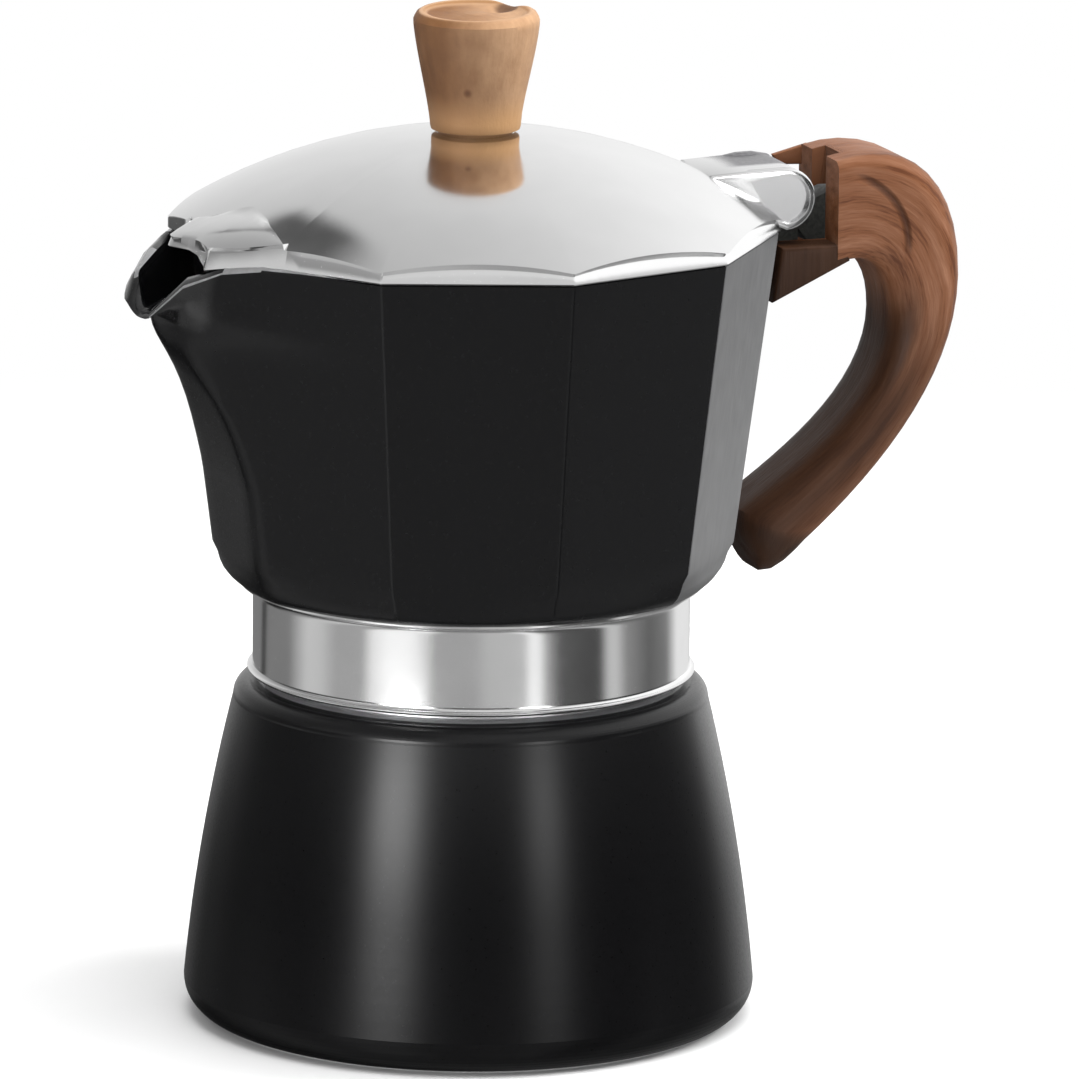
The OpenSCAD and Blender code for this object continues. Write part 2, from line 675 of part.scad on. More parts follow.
// Turned wooden knob with a blind hole for its screw
module knob() {
    top_z = land_z + knob_h;
    color("burlywood") difference() {
        rotate_extrude() polygon(concat(
            [[0, land_z]],
            [[knob_foot_r - 0.5, land_z], [knob_foot_r, land_z + 0.5]],
            curve([[knob_foot_r, land_z + 0.8], [knob_foot_r + 0.5, land_z + knob_h * 0.3],
                [knob_r - 0.6, land_z + knob_h * 0.6], [knob_r, top_z - knob_round]]),
            arc([knob_r - knob_round, top_z - knob_round], knob_round, 15, 90, 6),
            [[knob_r * 0.45, top_z - knob_dish], [0, top_z - knob_dish]]));
        translate([0, 0, land_z - 1]) cylinder(r = knob_screw_r + 0.02, h = knob_screw_l + 1.5);
    }
}

// Screw up through the lid's crown into the knob
inner_crown_z = land_z - lid_wall - 0.4;
module knob_screw() {
    head_z = inner_crown_z - knob_washer_t - knob_screw_head_h;
    color("silver") difference() {
        union() {
            translate([0, 0, head_z]) cylinder(r = knob_screw_head_r, h = knob_screw_head_h);
            translate([0, 0, head_z])
                cylinder(r = knob_screw_r, h = land_z + knob_screw_l - head_z);
        }
        for (a = [0, 90]) rotate([0, 0, a]) translate([-2, -0.4, head_z - 1]) cube([4, 0.8, 2]);
    }
}

// Plain washer under the knob screw's head
module knob_washer() {
    color("silver") translate([0, 0, inner_crown_z - knob_washer_t]) difference() {
        cylinder(r = knob_washer_r, h = knob_washer_t);
        translate([0, 0, -1]) cylinder(r = knob_screw_r + 0.2, h = knob_washer_t + 2);
    }
}

// Steel pin pressed into the tongue, on which the lid's ears turn
module hinge_pin() {
    color("silver") rod(pin_x, -ears_w / 2 + 1.4, pin_z, pin_r, ears_w - 1.4);
}

// Moulded handle: a fork over the tang at the top, a curved grip and a free foot
foot_z = rim_z - handle_drop;
foot_x = face_x(foot_z + 6) + foot_gap;
module handle_outline() {
    polygon(concat(
        curve([[fork_x, rim_z + handle_rise], [fork_x + 11.6, rim_z + handle_rise + 2.3],
            [grip_x, rim_z + 7.1], [grip_x, grip_z]]),
        curve([[grip_x, grip_z], [grip_x, rim_z - 25.4], [foot_x + 23.2, foot_z + 14.6],
            [foot_x + 10.8, foot_z + 4.2]]),
        curve([[foot_x + 10.8, foot_z + 4.2], [foot_x + 7.7, foot_z + 0.8],
            [foot_x + 3.7, foot_z - 1.9], [foot_x + 1.6, foot_z + 1.8]], 8),
        curve([[foot_x, foot_z + 9.3], [foot_x + 9.9, foot_z + 16.3],
            [grip_in_x, rim_z - 29.9], [grip_in_x, rim_z - 16.4]]),
        curve([[grip_in_x, rim_z - 16.4], [grip_in_x, rim_z - 10.9],
            [fork_x + 8.4, rim_z - 6.4], [fork_x + 3.1, rim_z - 6.1]], 8),
        [[face_x(rim_z - 13.8) + handle_gap, rim_z - 13.8],
            [face_x(rim_z - 4) + handle_gap, rim_z - 4], [fork_x, rim_z - 3.6]]));
}
module handle() {
    head_y = handle_w / 2 - 0.4 - screw_head_h;
    washer_y = head_y - screw_washer_t;
    slot_z = rim_z - 5.2 - 2 * tang_gap;
    slot_end_x = tang_x + 3.6 + 2 * tang_gap;
    color("saddlebrown") difference() {
        union() {
            plate(handle_w) handle_outline();
            // Forward tip of the far cheek
            translate([0, handle_w / 2 - 0.6, 0]) plate(1.2) polygon([[fork_x - 5, rim_z + 7.9],
                [fork_x + 1, rim_z + handle_rise], [fork_x + 1, rim_z + 5.6],
                [fork_x - 4, rim_z + 6]]);
        }
        plate(tongue_w + 2 * tang_gap) polygon([[face_x(rim_z) - 5, rim_z - 30],
            [fork_x + 1.4, rim_z - 30], [fork_x + 1.4, slot_z], [slot_end_x, slot_z],
            [slot_end_x, tang_z + 5], [fork_x + 2.5, rim_z + 7.4], [face_x(rim_z) - 5, rim_z + 7.4]]);
        rod(tang_x, 0, tang_z, screw_r + 0.1, handle_w);
        rod(tang_x, washer_y, tang_z, screw_head_r + 0.3, handle_w);
        rod(tang_x, -handle_w / 2 + 2, tang_z, screw_r + 0.02, handle_w / 2);
    }
}

// Screw across the fork, from its far side into the near cheek
module handle_screw() {
    head_y = handle_w / 2 - 0.4 - screw_head_h;
    tip_y = -handle_w / 2 + 2.5;
    color("silver") difference() {
        union() {
            rod(tang_x, tip_y, tang_z, screw_r, head_y - tip_y + 0.5);
            rod(tang_x, head_y, tang_z, screw_head_r, screw_head_h);
        }
        translate([tang_x - 5, head_y + screw_head_h - 1, tang_z - 0.4]) cube([10, 2, 0.8]);
    }
}

// Washer under the handle screw's head
module handle_washer() {
    head_y = handle_w / 2 - 0.4 - screw_head_h;
    color("silver") difference() {
        rod(tang_x, head_y - screw_washer_t, tang_z, screw_head_r, screw_washer_t);
        rod(tang_x, head_y - screw_washer_t - 1, tang_z, screw_r + 0.15, screw_washer_t + 2);
    }
}

boiler();
valve_body();
valve_washer();
valve_stem();
valve_spring();
valve_cap();
funnel();
funnel_sieve();
gasket();
filter_plate();
collector();
column();
lid();
knob();
knob_screw();
knob_washer();
hinge_pin();
handle();
handle_screw();
handle_washer();
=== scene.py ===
import math

import bmesh
import bpy
from mathutils import Matrix, Vector


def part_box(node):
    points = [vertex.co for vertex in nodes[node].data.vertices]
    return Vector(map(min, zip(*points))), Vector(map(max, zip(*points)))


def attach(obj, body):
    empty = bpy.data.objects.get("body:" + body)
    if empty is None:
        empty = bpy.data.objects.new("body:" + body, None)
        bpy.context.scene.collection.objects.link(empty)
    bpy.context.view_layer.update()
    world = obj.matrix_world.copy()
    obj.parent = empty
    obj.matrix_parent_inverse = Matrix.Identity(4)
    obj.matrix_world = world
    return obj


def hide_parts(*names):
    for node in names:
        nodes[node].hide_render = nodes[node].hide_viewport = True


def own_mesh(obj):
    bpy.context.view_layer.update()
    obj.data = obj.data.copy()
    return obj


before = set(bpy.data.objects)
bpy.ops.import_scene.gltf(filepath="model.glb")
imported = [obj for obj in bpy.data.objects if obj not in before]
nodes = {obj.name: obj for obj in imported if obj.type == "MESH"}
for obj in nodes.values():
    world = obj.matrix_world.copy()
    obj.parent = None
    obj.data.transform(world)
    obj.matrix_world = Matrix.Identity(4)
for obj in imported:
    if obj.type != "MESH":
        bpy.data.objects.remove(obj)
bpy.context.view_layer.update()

# Camera: a long lens from in front of the spout side, a little above the lid,
# far enough away that the ten sides of the body hardly converge.
scene = bpy.context.scene
turn_about = Vector((0, 0, 0.080))
sight = Vector((-0.31375, -0.92588, 0.21030))
camera_data = bpy.data.cameras.new("camera")
camera_data.sensor_width = 36
camera_data.lens = 395.2
camera_data.clip_end = 20
camera_distance = 1.833
camera = bpy.data.objects.new("camera", camera_data)
scene.collection.objects.link(camera)
camera.location = turn_about + camera_distance * sight
rightward = Vector((0.94710, -0.32094, 0))
upward = rightward.cross(-sight)
aim = turn_about + 0.01045 * rightward - 0.00513 * upward
lean = Matrix.Rotation(math.radians(0.55), 3, "Z")
facing = (camera.location - aim).to_track_quat("Z", "Y").to_matrix()
camera.rotation_euler = (facing @ lean).to_euler()
scene.camera = camera


# Studio: a white paper sweep that holds the pot's shadow, soft lamps overhead, behind
# and on both sides, and a tent with pale and dark panels, which the bright metal mirrors.
class Wire:
    """An output socket in a node tree; arithmetic on it adds Math nodes."""

    def __init__(self, socket):
        self.socket = socket

    def node(self, kind, settings=None, sockets=None, out=0):
        """Adds a node: its settings first, then the values or links of its sockets."""
        tree = self.socket.id_data
        made = tree.nodes.new(kind)
        for name, value in (settings or {}).items():
            if name == "stops":
                stops = made.color_ramp.elements
                while len(stops) < len(value):
                    stops.new(0.5)
                for stop, (place, shade) in zip(stops, value):
                    stop.position = place
                    stop.color = (*shade, 1) if isinstance(shade, tuple) else (shade,) * 3 + (1,)
            else:
                setattr(made, name, value)
        for key, value in (sockets or {}).items():
            if isinstance(value, Wire):
                tree.links.new(value.socket, made.inputs[key])
            else:
                made.inputs[key].default_value = value
        return Wire(made.outputs[out])

    def maths(self, operation, *others):
        values = dict(enumerate((self, *others)))
        return self.node("ShaderNodeMath", {"operation": operation}, values)

    def __add__(self, other):
        return self.maths("ADD", other)

    def __sub__(self, other):
        return self.maths("SUBTRACT", other)

    def __rsub__(self, other):
        return self * -1 + other

    def __mul__(self, other):
        return self.maths("MULTIPLY", other)

    def __truediv__(self, other):
        return self.maths("DIVIDE", other)

    __radd__ = __add__
    __rmul__ = __mul__

    def between(self, low, high, start=0.0, end=1.0):
        """A smooth step: start where the value is low, end where it is high."""
        values = {"Value": self, "From Min": low, "From Max": high,
                  "To Min": start, "To Max": end}
        return self.node("ShaderNodeMapRange", {"interpolation_type": "SMOOTHSTEP"}, values)

    def xyz(self):
        split = self.socket.id_data.nodes.new("ShaderNodeSeparateXYZ")
        self.socket.id_data.links.new(self.socket, split.inputs[0])
        return [Wire(part) for part in split.outputs]

    def mixed(self, first, second):
        """Colour first where the wire is 0, second where it is 1."""
        values = {"Factor": self, 6: first, 7: second}
        return self.node("ShaderNodeMix", {"data_type": "RGBA"}, values, out=2)


scene.view_settings.view_transform = "Standard"
world = bpy.data.worlds.new("studio")
scene.world = world
world.use_nodes = True
world.cycles.sampling_method = "NONE"
tree = world.node_tree
tree.nodes.clear()
background = tree.nodes.new("ShaderNodeBackground")
tree.links.new(background.outputs[0], tree.nodes.new("ShaderNodeOutputWorld").inputs[0])
ray = tree.nodes.new("ShaderNodeLightPath")
seen = Wire(ray.outputs["Is Camera Ray"])
mirrored = Wire(ray.outputs["Is Glossy Ray"])
x, y, z = Wire(tree.nodes.new("ShaderNodeTexCoord").outputs["Generated"]).xyz()
sideways = x * rightward.x + y * rightward.y
toward = x * rightward.y - y * rightward.x
# Share of a turn round the tent: 0.5 is towards the camera, 0.25 left and 0.75 right.
turn = sideways.maths("ARCTAN2", toward) / (2 * math.pi) + 0.5
low_panels = turn.node("ShaderNodeValToRGB", {"stops": [
    (0.0, 0.2), (0.092, 0.2), (0.10, 0.05), (0.112, 0.05), (0.12, 0.2), (0.19, 0.2),
    (0.232, 0.58), (0.26, 0.55), (0.29, 0.37), (0.335, 0.38),
    (0.352, 0.85), (0.375, 1.0), (0.41, 1.0), (0.432, 0.75), (0.447, 0.37), (0.505, 0.37),
    (0.523, 0.48), (0.578, 0.50), (0.588, 0.98), (0.60, 0.98), (0.612, 0.35), (0.632, 0.10),
    (0.70, 0.06), (0.716, 0.58), (0.73, 0.58), (0.75, 0.25), (0.80, 0.12), (0.85, 0.2),
    (0.885, 0.85), (0.96, 0.80), (1.0, 0.3)]}, {"Fac": turn})
high_panels = turn.node("ShaderNodeValToRGB", {"stops": [
    (0.0, 0.03), (0.10, 0.02), (0.18, 0.004), (0.37, 0.004), (0.392, 1.0), (0.42, 1.0),
    (0.445, 0.004), (0.57, 0.004), (0.584, 0.40), (0.602, 0.40), (0.618, 0.002), (0.87, 0.003),
    (0.90, 0.20), (1.0, 0.14)]}, {"Fac": turn})
ceiling = (sideways * 0.69 + 0.87 - z * z * (sideways * 0.39 + 0.33)).maths("MINIMUM", 1.1)
behind_dark = turn.between(0.85, 0.89) * 0.72 + turn.between(0.17, 0.13) * 0.85
low_light = 1 - z.between(-0.27, -0.38) * behind_dark
tent = low_panels.node("ShaderNodeVectorMath", {"operation": "SCALE"},
                       {0: low_panels, "Scale": low_light})
tent = z.between(-0.84, -0.93).mixed(tent, (0.3, 0.3, 0.3, 1))
strips = high_panels.node("ShaderNodeVectorMath", {"operation": "SCALE"},
                          {0: high_panels, "Scale": 15.0})
tent = z.between(-0.11, -0.03).mixed(tent, strips)
plain_grey = (0.62, 0.62, 0.62, 1)
tent = z.between(0.20, 0.26).mixed(tent, plain_grey)
gloom = (z * 0.28 - 0.465 - sideways).between(-0.02, 0.03) * sideways.between(-0.42, -0.36)
gloom = gloom * z.between(0.95, 0.80) * z.between(0.56, 0.64)
ceiling = ceiling * (1 - gloom * 0.85)
ceiling = ceiling.node("ShaderNodeCombineXYZ", None, {0: ceiling, 1: ceiling, 2: ceiling})
tent = (z + toward * -0.5).between(0.25, 0.40).mixed(tent, ceiling)
plain = mirrored.mixed(plain_grey, tent)
shown = seen.mixed(plain, (1, 1, 1, 1))
tree.links.new(shown.socket, background.inputs["Color"])

floor_mesh = bmesh.new()
bmesh.ops.create_circle(floor_mesh, cap_ends=True, segments=96, radius=3)
floor_data = bpy.data.meshes.new("floor")
floor_mesh.to_mesh(floor_data)
floor = bpy.data.objects.new("floor", floor_data)
scene.collection.objects.link(floor)
floor.visible_glossy = False
floor_paper = bpy.data.materials.new("white_paper")
floor_paper.use_nodes = True
tree = floor_paper.node_tree
tree.nodes.clear()
paper = tree.nodes.new("ShaderNodeBsdfDiffuse")
paper.inputs["Color"].default_value = (0.86, 0.86, 0.86, 1)
far_white = tree.nodes.new("ShaderNodeEmission")
spot = Wire(tree.nodes.new("ShaderNodeTexCoord").outputs["Object"])
reach = spot.node("ShaderNodeVectorMath", {"operation": "LENGTH"}, {0: spot}, out=1)
seen = Wire(tree.nodes.new("ShaderNodeLightPath").outputs["Is Camera Ray"])
blend = tree.nodes.new("ShaderNodeMixShader")
tree.links.new((reach.between(0.28, 0.50) * seen).socket, blend.inputs[0])
tree.links.new(paper.outputs[0], blend.inputs[1])
tree.links.new(far_white.outputs[0], blend.inputs[2])
tree.links.new(blend.outputs[0], tree.nodes.new("ShaderNodeOutputMaterial").inputs[0])
floor_data.materials.append(floor_paper)

for name, place, size, power in [
        ("overhead", (0.1, -0.3, 1.4), 1.1, 19), ("left", (-1.2, -0.9, 0.7), 0.8, 3),
        ("right", (1.3, -0.2, 0.9), 0.7, 18), ("behind", (0.3, 1.3, 0.9), 0.9, 6)]:
    lamp_data = bpy.data.lights.new(name, "AREA")
    lamp_data.size = size
    lamp_data.energy = power
    lamp = bpy.data.objects.new(name, lamp_data)
    lamp.location = place
    lamp.rotation_euler = (Vector(place) - turn_about).to_track_quat("Z", "Y").to_euler()
    lamp.visible_glossy = False
    scene.collection.objects.link(lamp)


# Boiler: an aluminium casting turned inside and out, with a threaded neck. The flank
# and shoulder carry a satin black stove paint; inside, neck and base stay bare.
def finish(name):
    """A new material: returns it, its shader node and its place on the object in mm."""
    made = bpy.data.materials.new(name)
    made.use_nodes = True
    shader = made.node_tree.nodes["Principled BSDF"]
    spot = Wire(made.node_tree.nodes.new("ShaderNodeTexCoord").outputs["Object"])
    spot = spot.node("ShaderNodeVectorMath", {"operation": "SCALE"}, {0: spot, "Scale": 1000.0})
    return made, shader, spot


def feed(shader, **values):
    """Gives the shader's sockets their values or wires."""
    for name, value in values.items():
        socket = shader.inputs[name.replace("_", " ")]
        if isinstance(value, Wire):
            shader.id_data.links.new(value.socket, socket)
        else:
            socket.default_value = value


def grain(spot, scale, detail=3.0, roughness=0.5):
    """Cloudy noise, about 0.3 to 0.7, with marks of 1 / scale mm."""
    return spot.node("ShaderNodeTexNoise", None, {
        "Vector": spot, "Scale": scale, "Detail": detail, "Roughness": roughness})


def bump(height, depth, strength=1.0):
    """The normal of a surface whose height in mm is the wire times depth."""
    return height.node("ShaderNodeBump", None, {
        "Height": height, "Distance": depth * 0.001, "Strength": strength})


def radius(spot):
    x, y, z = spot.xyz()
    return (x * x + y * y).maths("SQRT"), z


boiler_paint, shader, spot = finish("satin_black_paint")
r, z = radius(spot)
inside = (39.9 - z * 0.155 - r).between(-0.3, 0.3) * z.between(1.4, 1.6)
neck = (33.2 - r).between(-0.2, 0.2) * z.between(52.5, 52.9)
base = z.between(0.3, 0.15)
bare = inside.maths("MAXIMUM", neck).maths("MAXIMUM", base)
speckle = grain(spot, 2.2, 2.0)
turned = z.node("ShaderNodeTexNoise", {"noise_dimensions": "1D"},
                {"W": z * 3.0 + r * 2.0, "Scale": 2.0, "Detail": 2.0})
coat = speckle.mixed((0.002, 0.002, 0.0022, 1), (0.004, 0.004, 0.0045, 1))
coat_dull, metal_dull = speckle.between(0.2, 0.8, 0.27, 0.36), turned.between(0.3, 0.7, 0.25, 0.5)
feed(shader, Base_Color=bare.mixed(coat, (0.72, 0.72, 0.73, 1)), Metallic=bare,
     Coat_Weight=(1 - bare) * z.between(20, 50, 0.12, 0.58), Coat_Roughness=0.26,
     Roughness=bare.mixed(coat_dull, metal_dull), Normal=bump(speckle, 0.010),
     Specular_IOR_Level=0.08)
boiler = nodes["boiler"]
boiler.data.materials[0] = boiler_paint


# Safety valve: a turned brass body with a hexagon, screwed into the boss over a red
# fibre washer; its steel stem is held shut by a wound spring under a brass cap.
def metal(name, colour, low, high, scale, depth):
    """A bare metal with cloudy polish: roughness from low to high, marks of 1 / scale mm."""
    made, shader, spot = finish(name)
    cloud = grain(spot, scale)
    fine = grain(spot, scale * 12, 2.0)
    dull = tuple(0.82 * part for part in colour[:3]) + (1,)
    feed(shader, Base_Color=cloud.between(0.25, 0.75).mixed(dull, colour), Metallic=1.0,
         Roughness=(cloud * 0.6 + fine * 0.4).between(0.3, 0.7, low, high),
         Normal=bump(fine, depth))
    return made


brass = metal("turned_brass", (0.83, 0.60, 0.27, 1), 0.18, 0.34, 0.5, 0.004)
steel = metal("plain_steel", (0.60, 0.60, 0.62, 1), 0.2, 0.38, 0.6, 0.004)

fibre, shader, spot = finish("red_fibre_sheet")
hairs = grain(spot, 4.0, 5.0, 0.7)
feed(shader, Base_Color=hairs.between(0.3, 0.7).mixed((0.30, 0.05, 0.03, 1), (0.50, 0.12, 0.07, 1)),
     Roughness=0.85, Normal=bump(hairs, 0.05))
for name, kind in [("valve_body", brass), ("valve_cap", brass), ("valve_washer", fibre),
                   ("valve_stem", steel)]:
    nodes[name].data.materials[0] = kind

spring_low, spring_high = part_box("valve_spring")
spring_middle = (spring_low + spring_high) / 2
wire_r, turns, steps = 0.00022, 5, 120
coil_r = (spring_high.x - spring_low.x) / 2 - wire_r
coil_l = spring_high.y - spring_low.y - 2 * wire_r
coil = bmesh.new()
section = bmesh.ops.create_circle(coil, segments=10, radius=wire_r)["verts"]
bmesh.ops.translate(coil, verts=section, vec=(coil_r, 0, 0))
bmesh.ops.spin(coil, geom=coil.verts[:] + coil.edges[:], cent=(0, 0, 0), axis=(0, 0, 1),
               dvec=(0, 0, coil_l / steps), angle=turns * 2 * math.pi, steps=steps)
bmesh.ops.holes_fill(coil, edges=[edge for edge in coil.edges if edge.is_boundary], sides=12)


def piece(name, mesh, body, kinds, replaced, scale=0.001):
    """Finishes a bmesh that is in mm as an object of the pot."""
    bmesh.ops.scale(mesh, vec=(scale,) * 3, verts=mesh.verts)
    bmesh.ops.remove_doubles(mesh, verts=mesh.verts, dist=1e-6)
    bmesh.ops.recalc_face_normals(mesh, faces=mesh.faces)
    for face in mesh.faces:
        face.smooth = True
    data = bpy.data.meshes.new(name)
    mesh.to_mesh(data)
    mesh.free()
    data.set_sharp_from_angle(angle=math.radians(38))
    for kind in kinds:
        data.materials.append(kind)
    made = bpy.data.objects.new(name, data)
    scene.collection.objects.link(made)
    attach(made, body)
    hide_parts(*replaced)
    return made


coil_end = spring_middle - Vector((0, coil_l / 2, 0))
laid_down = Matrix.Translation(coil_end) @ Matrix.Rotation(-math.pi / 2, 4, "X")
bmesh.ops.transform(coil, matrix=laid_down, verts=coil.verts)
spring = piece("spring_coil", coil, "boiler", [steel], ["valve_spring"], 1.0)
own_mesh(spring)

# Funnel: spun aluminium with a long tube. A punched sieve closes its basket below, and
# a second one, the filter plate, sits in the white rubber gasket under the collector.
spun = metal("spun_aluminium", (0.80, 0.80, 0.81, 1), 0.24, 0.42, 0.35, 0.006)
punched = metal("punched_aluminium", (0.78, 0.78, 0.79, 1), 0.28, 0.45, 0.8, 0.006)
cast = metal("cast_aluminium", (0.74, 0.74, 0.75, 1), 0.30, 0.50, 0.7, 0.020)
rubber, shader, spot = finish("white_rubber")
bloom = grain(spot, 0.8, 4.0)
feed(shader, Base_Color=bloom.between(0.3, 0.7).mixed((0.74, 0.72, 0.66, 1), (0.84, 0.83, 0.79, 1)),
     Roughness=bloom.between(0.3, 0.7, 0.55, 0.7), Normal=bump(grain(spot, 6.0), 0.01))
for name, kind in [("funnel", spun), ("funnel_sieve", punched), ("filter_plate", punched),
                   ("gasket", rubber), ("column", cast), ("knob_screw", steel),
                   ("knob_washer", steel), ("hinge_pin", steel), ("handle_screw", steel),
                   ("handle_washer", steel)]:
    nodes[name].data.materials[0] = kind

# Collar of the collector: turned from the same casting as the body and polished bright.
# Its thread, on the inside, takes the boiler's neck; the gasket lies against its ceiling.
polish, shader, spot = finish("polished_aluminium")
z = spot.xyz()[2]
soft = grain(spot, 0.10, 2.0)
lines = z.node("ShaderNodeTexNoise", {"noise_dimensions": "1D"},
               {"W": z * 6.0, "Scale": 1.0, "Detail": 4.0, "Roughness": 0.7})
feed(shader, Base_Color=soft.between(0.2, 0.8).mixed((0.86, 0.86, 0.86, 1), (0.92, 0.92, 0.92, 1)),
     Metallic=1.0, Roughness=(soft * 0.5 + lines * 0.5).between(0.3, 0.7, 0.10, 0.17),
     Normal=bump(lines, 0.0015))


def curve(points, count=12):
    """Points along a cubic curve with the four given control points."""
    spots = []
    for i in range(count + 1):
        t = i / count
        s = 1 - t
        weights = (s * s * s, 3 * s * s * t, 3 * s * t * t, t * t * t)
        spots.append([sum(w * p[k] for w, p in zip(weights, points)) for k in (0, 1)])
    return spots


def turned_piece(profile, steps=128):
    """A bmesh spun about Z from a closed profile of (radius, height) in mm."""
    mesh = bmesh.new()
    made = bmesh.ops.create_circle(mesh, segments=len(profile), radius=1)["verts"]
    for vert, (r, z) in zip(made, profile):
        vert.co = (r, 0, z)
    bmesh.ops.spin(mesh, geom=mesh.verts[:] + mesh.edges[:], cent=(0, 0, 0), axis=(0, 0, 1),
                   angle=2 * math.pi, steps=steps, use_merge=True)
    return mesh


collar_foot, collar_top, chamber_floor = 54.4, 68.5, 76.0
thread_r, waist_r, flare_r, column_r = 32.6, 33.9, 34.75, 6.02
thread_deep, thread_rise = 0.55, 2
grooves = []
for i in range(4):
    foot = collar_foot + 1 + thread_rise * i
    grooves += [(thread_r, foot + 0.3), (thread_r + thread_deep, foot + 1.0),
                (thread_r, foot + 1.7)]
waist = curve([(flare_r, 54.9), (waist_r + 0.4, 54.95), (waist_r, 55.1), (waist_r, 55.8)], 10)
waist += curve([(waist_r, 66.8), (waist_r, 67.6), (waist_r + 0.4, 68.3), (36.0, 68.5)], 10)
collar = turned_piece(
    [(33.2, collar_foot), (flare_r - 0.5, collar_foot), (flare_r - 0.15, 54.55),
     (flare_r, 54.8)] + waist
    + [(36.0, 69.3), (33.0, 71.0), (30.0, chamber_floor), (column_r, chamber_floor),
       (column_r, 73.5), (8.0, 73.5), (27.0, collar_top), (thread_r, collar_top)] + grooves[::-1]
    + [(thread_r, 55.0)])
piece("collar", collar, "collector", [polish], ["collector"])


# Body of the collector: a ten-sided casting that opens upwards into a V spout with a
# thick rolled lip. Black paint covers the sides and the spout, inside too; the sides by
# the handle, the rim's top and the chamber are bare aluminium.
def ring(mesh, points):
    """A closed loop of edges through the points; returns its vertices in order."""
    made = bmesh.ops.create_circle(mesh, segments=len(points), radius=1)["verts"]
    for vert, point in zip(made, points):
        vert.co = point
    return made


def grow(mesh, loop, points):
    """Extrudes a loop of vertices to the points; returns the new ones in order."""
    held = set(loop)
    edges = [edge for edge in {e for vert in loop for e in vert.link_edges}
             if edge.verts[0] in held and edge.verts[1] in held]
    grown = bmesh.ops.extrude_edge_only(mesh, edges=edges)["geom"]
    fresh = {part for part in grown if isinstance(part, bmesh.types.BMVert)}
    across = []
    for vert in loop:
        across += [e.other_vert(vert) for e in vert.link_edges if e.other_vert(vert) in fresh][:1]
    for vert, point in zip(across, points):
        vert.co = point
    return across


def rounded(corners, arc_points=4, side_points=5):
    """Points round a polygon given as (x, y, corner radius), the same number for each."""
    starts, spots = [], []
    count = len(corners)
    for i, (x, y, r) in enumerate(corners):
        here = Vector((x, y))
        back = (Vector(corners[i - 1][:2]) - here)
        on = (Vector(corners[(i + 1) % count][:2]) - here)
        room = 0.49 * min(back.length, on.length)
        back.normalize()
        on.normalize()
        bend = math.pi - back.angle(on)
        reach = min(r * math.tan(bend / 2), room)
        a, b = here + back * reach, here + on * reach
        arc = []
        for k in range(arc_points):
            t = k / (arc_points - 1)
            s = 1 - t
            weight = math.cos(bend / 2)
            total = s * s + 2 * s * t * weight + t * t
            arc.append((a * (s * s) + here * (2 * s * t * weight) + b * (t * t)) / total)
        starts.append(arc)
    for i, arc in enumerate(starts):
        spots += arc
        after = starts[(i + 1) % count][0]
        spots += [arc[-1].lerp(after, (k + 1) / (side_points + 1)) for k in range(side_points)]
    return spots


def step(value, low, high):
    """A smooth step from 0 at low to 1 at high."""
    t = min(max((value - low) / (high - low), 0), 1)
    return t * t * (3 - 2 * t)


def along(table, value):
    """Straight-line interpolation in a list of (value, result) that rises."""
    if value <= table[0][0]:
        return table[0][1]
    for (a, p), (b, q) in zip(table, table[1:]):
        if value <= b:
            return p + (q - p) * (value - a) / (b - a)
    return table[-1][1]


rim_z, spout_root_z, body_foot = 123.4, 87.4, collar_top
body_foot_r, body_rim_r, wall_inside = 39.8, 46.9, 2.6
cos18, cos36, sin36 = math.cos(math.pi / 10), math.cos(math.pi / 5), math.sin(math.pi / 5)
# The spout's keel from its root to its tip, as (height, distance from the axis).
keel = [(z, -x) for x, z in curve([(-40.2, spout_root_z), (-43.8, 101.6), (-45.6, 103.0),
                                   (-53.3, 112.2)], 30)]
keel += [(112.8, 54.1), (113.3, 54.8), (113.9, 55.25), (114.7, 55.5), (116.0, 55.65)]


def face_at(z):
    """Distance of the ten sides from the axis at height z."""
    share = (z - body_foot) / (rim_z - body_foot)
    return cos18 * (body_foot_r + (body_rim_r - body_foot_r) * share)


def body_outline(z, wall):
    """Outline of the body and spout at height z, inset by the wall."""
    face = face_at(z) - wall
    reach = along(keel, z) - wall if z > spout_root_z else 0
    nose = 4.2 - 0.6 * wall
    front = max(face, reach)
    half = max((face - front * cos36) / sin36, (3.4 - 0.6 * wall) * step(z, 100, 114))
    ease = step(z, spout_root_z - 8, 114)
    corners = []
    for k in range(10):
        a = math.radians(18 + 36 * k)
        if k in (4, 5):
            corners.append((-front, half if k == 4 else -half, 7.0 + (nose - 7.0) * ease))
        else:
            corners.append((face / cos18 * math.cos(a), face / cos18 * math.sin(a), 1.1))
    return rounded(corners)


# How far the rim lies below rim_z on the spout's near and far side, by the distance out.
near_drop = [(39.0, 0.0), (41.5, 0.25), (43.6, 0.8), (47.0, 1.8), (50.0, 4.2), (51.2, 5.9),
             (52.5, 8.3), (53.2, 9.4), (54.2, 10.1), (55.9, 9.8)]
far_drop = [(39.0, 0.0), (41.5, 0.2), (43.6, 0.6), (47.0, 1.3), (50.9, 2.8), (52.8, 3.5),
            (54.2, 5.4), (55.3, 7.8), (55.9, 8.8)]


def rim_height(spot):
    """Height of the rim above a point of the outline: it dips along the spout."""
    share = step(spot.y, -1.5, 2.0)
    drop = (1 - share) * along(near_drop, -spot.x) + share * along(far_drop, -spot.x)
    return rim_z - drop


foot_round, tightness = 7.7, 24


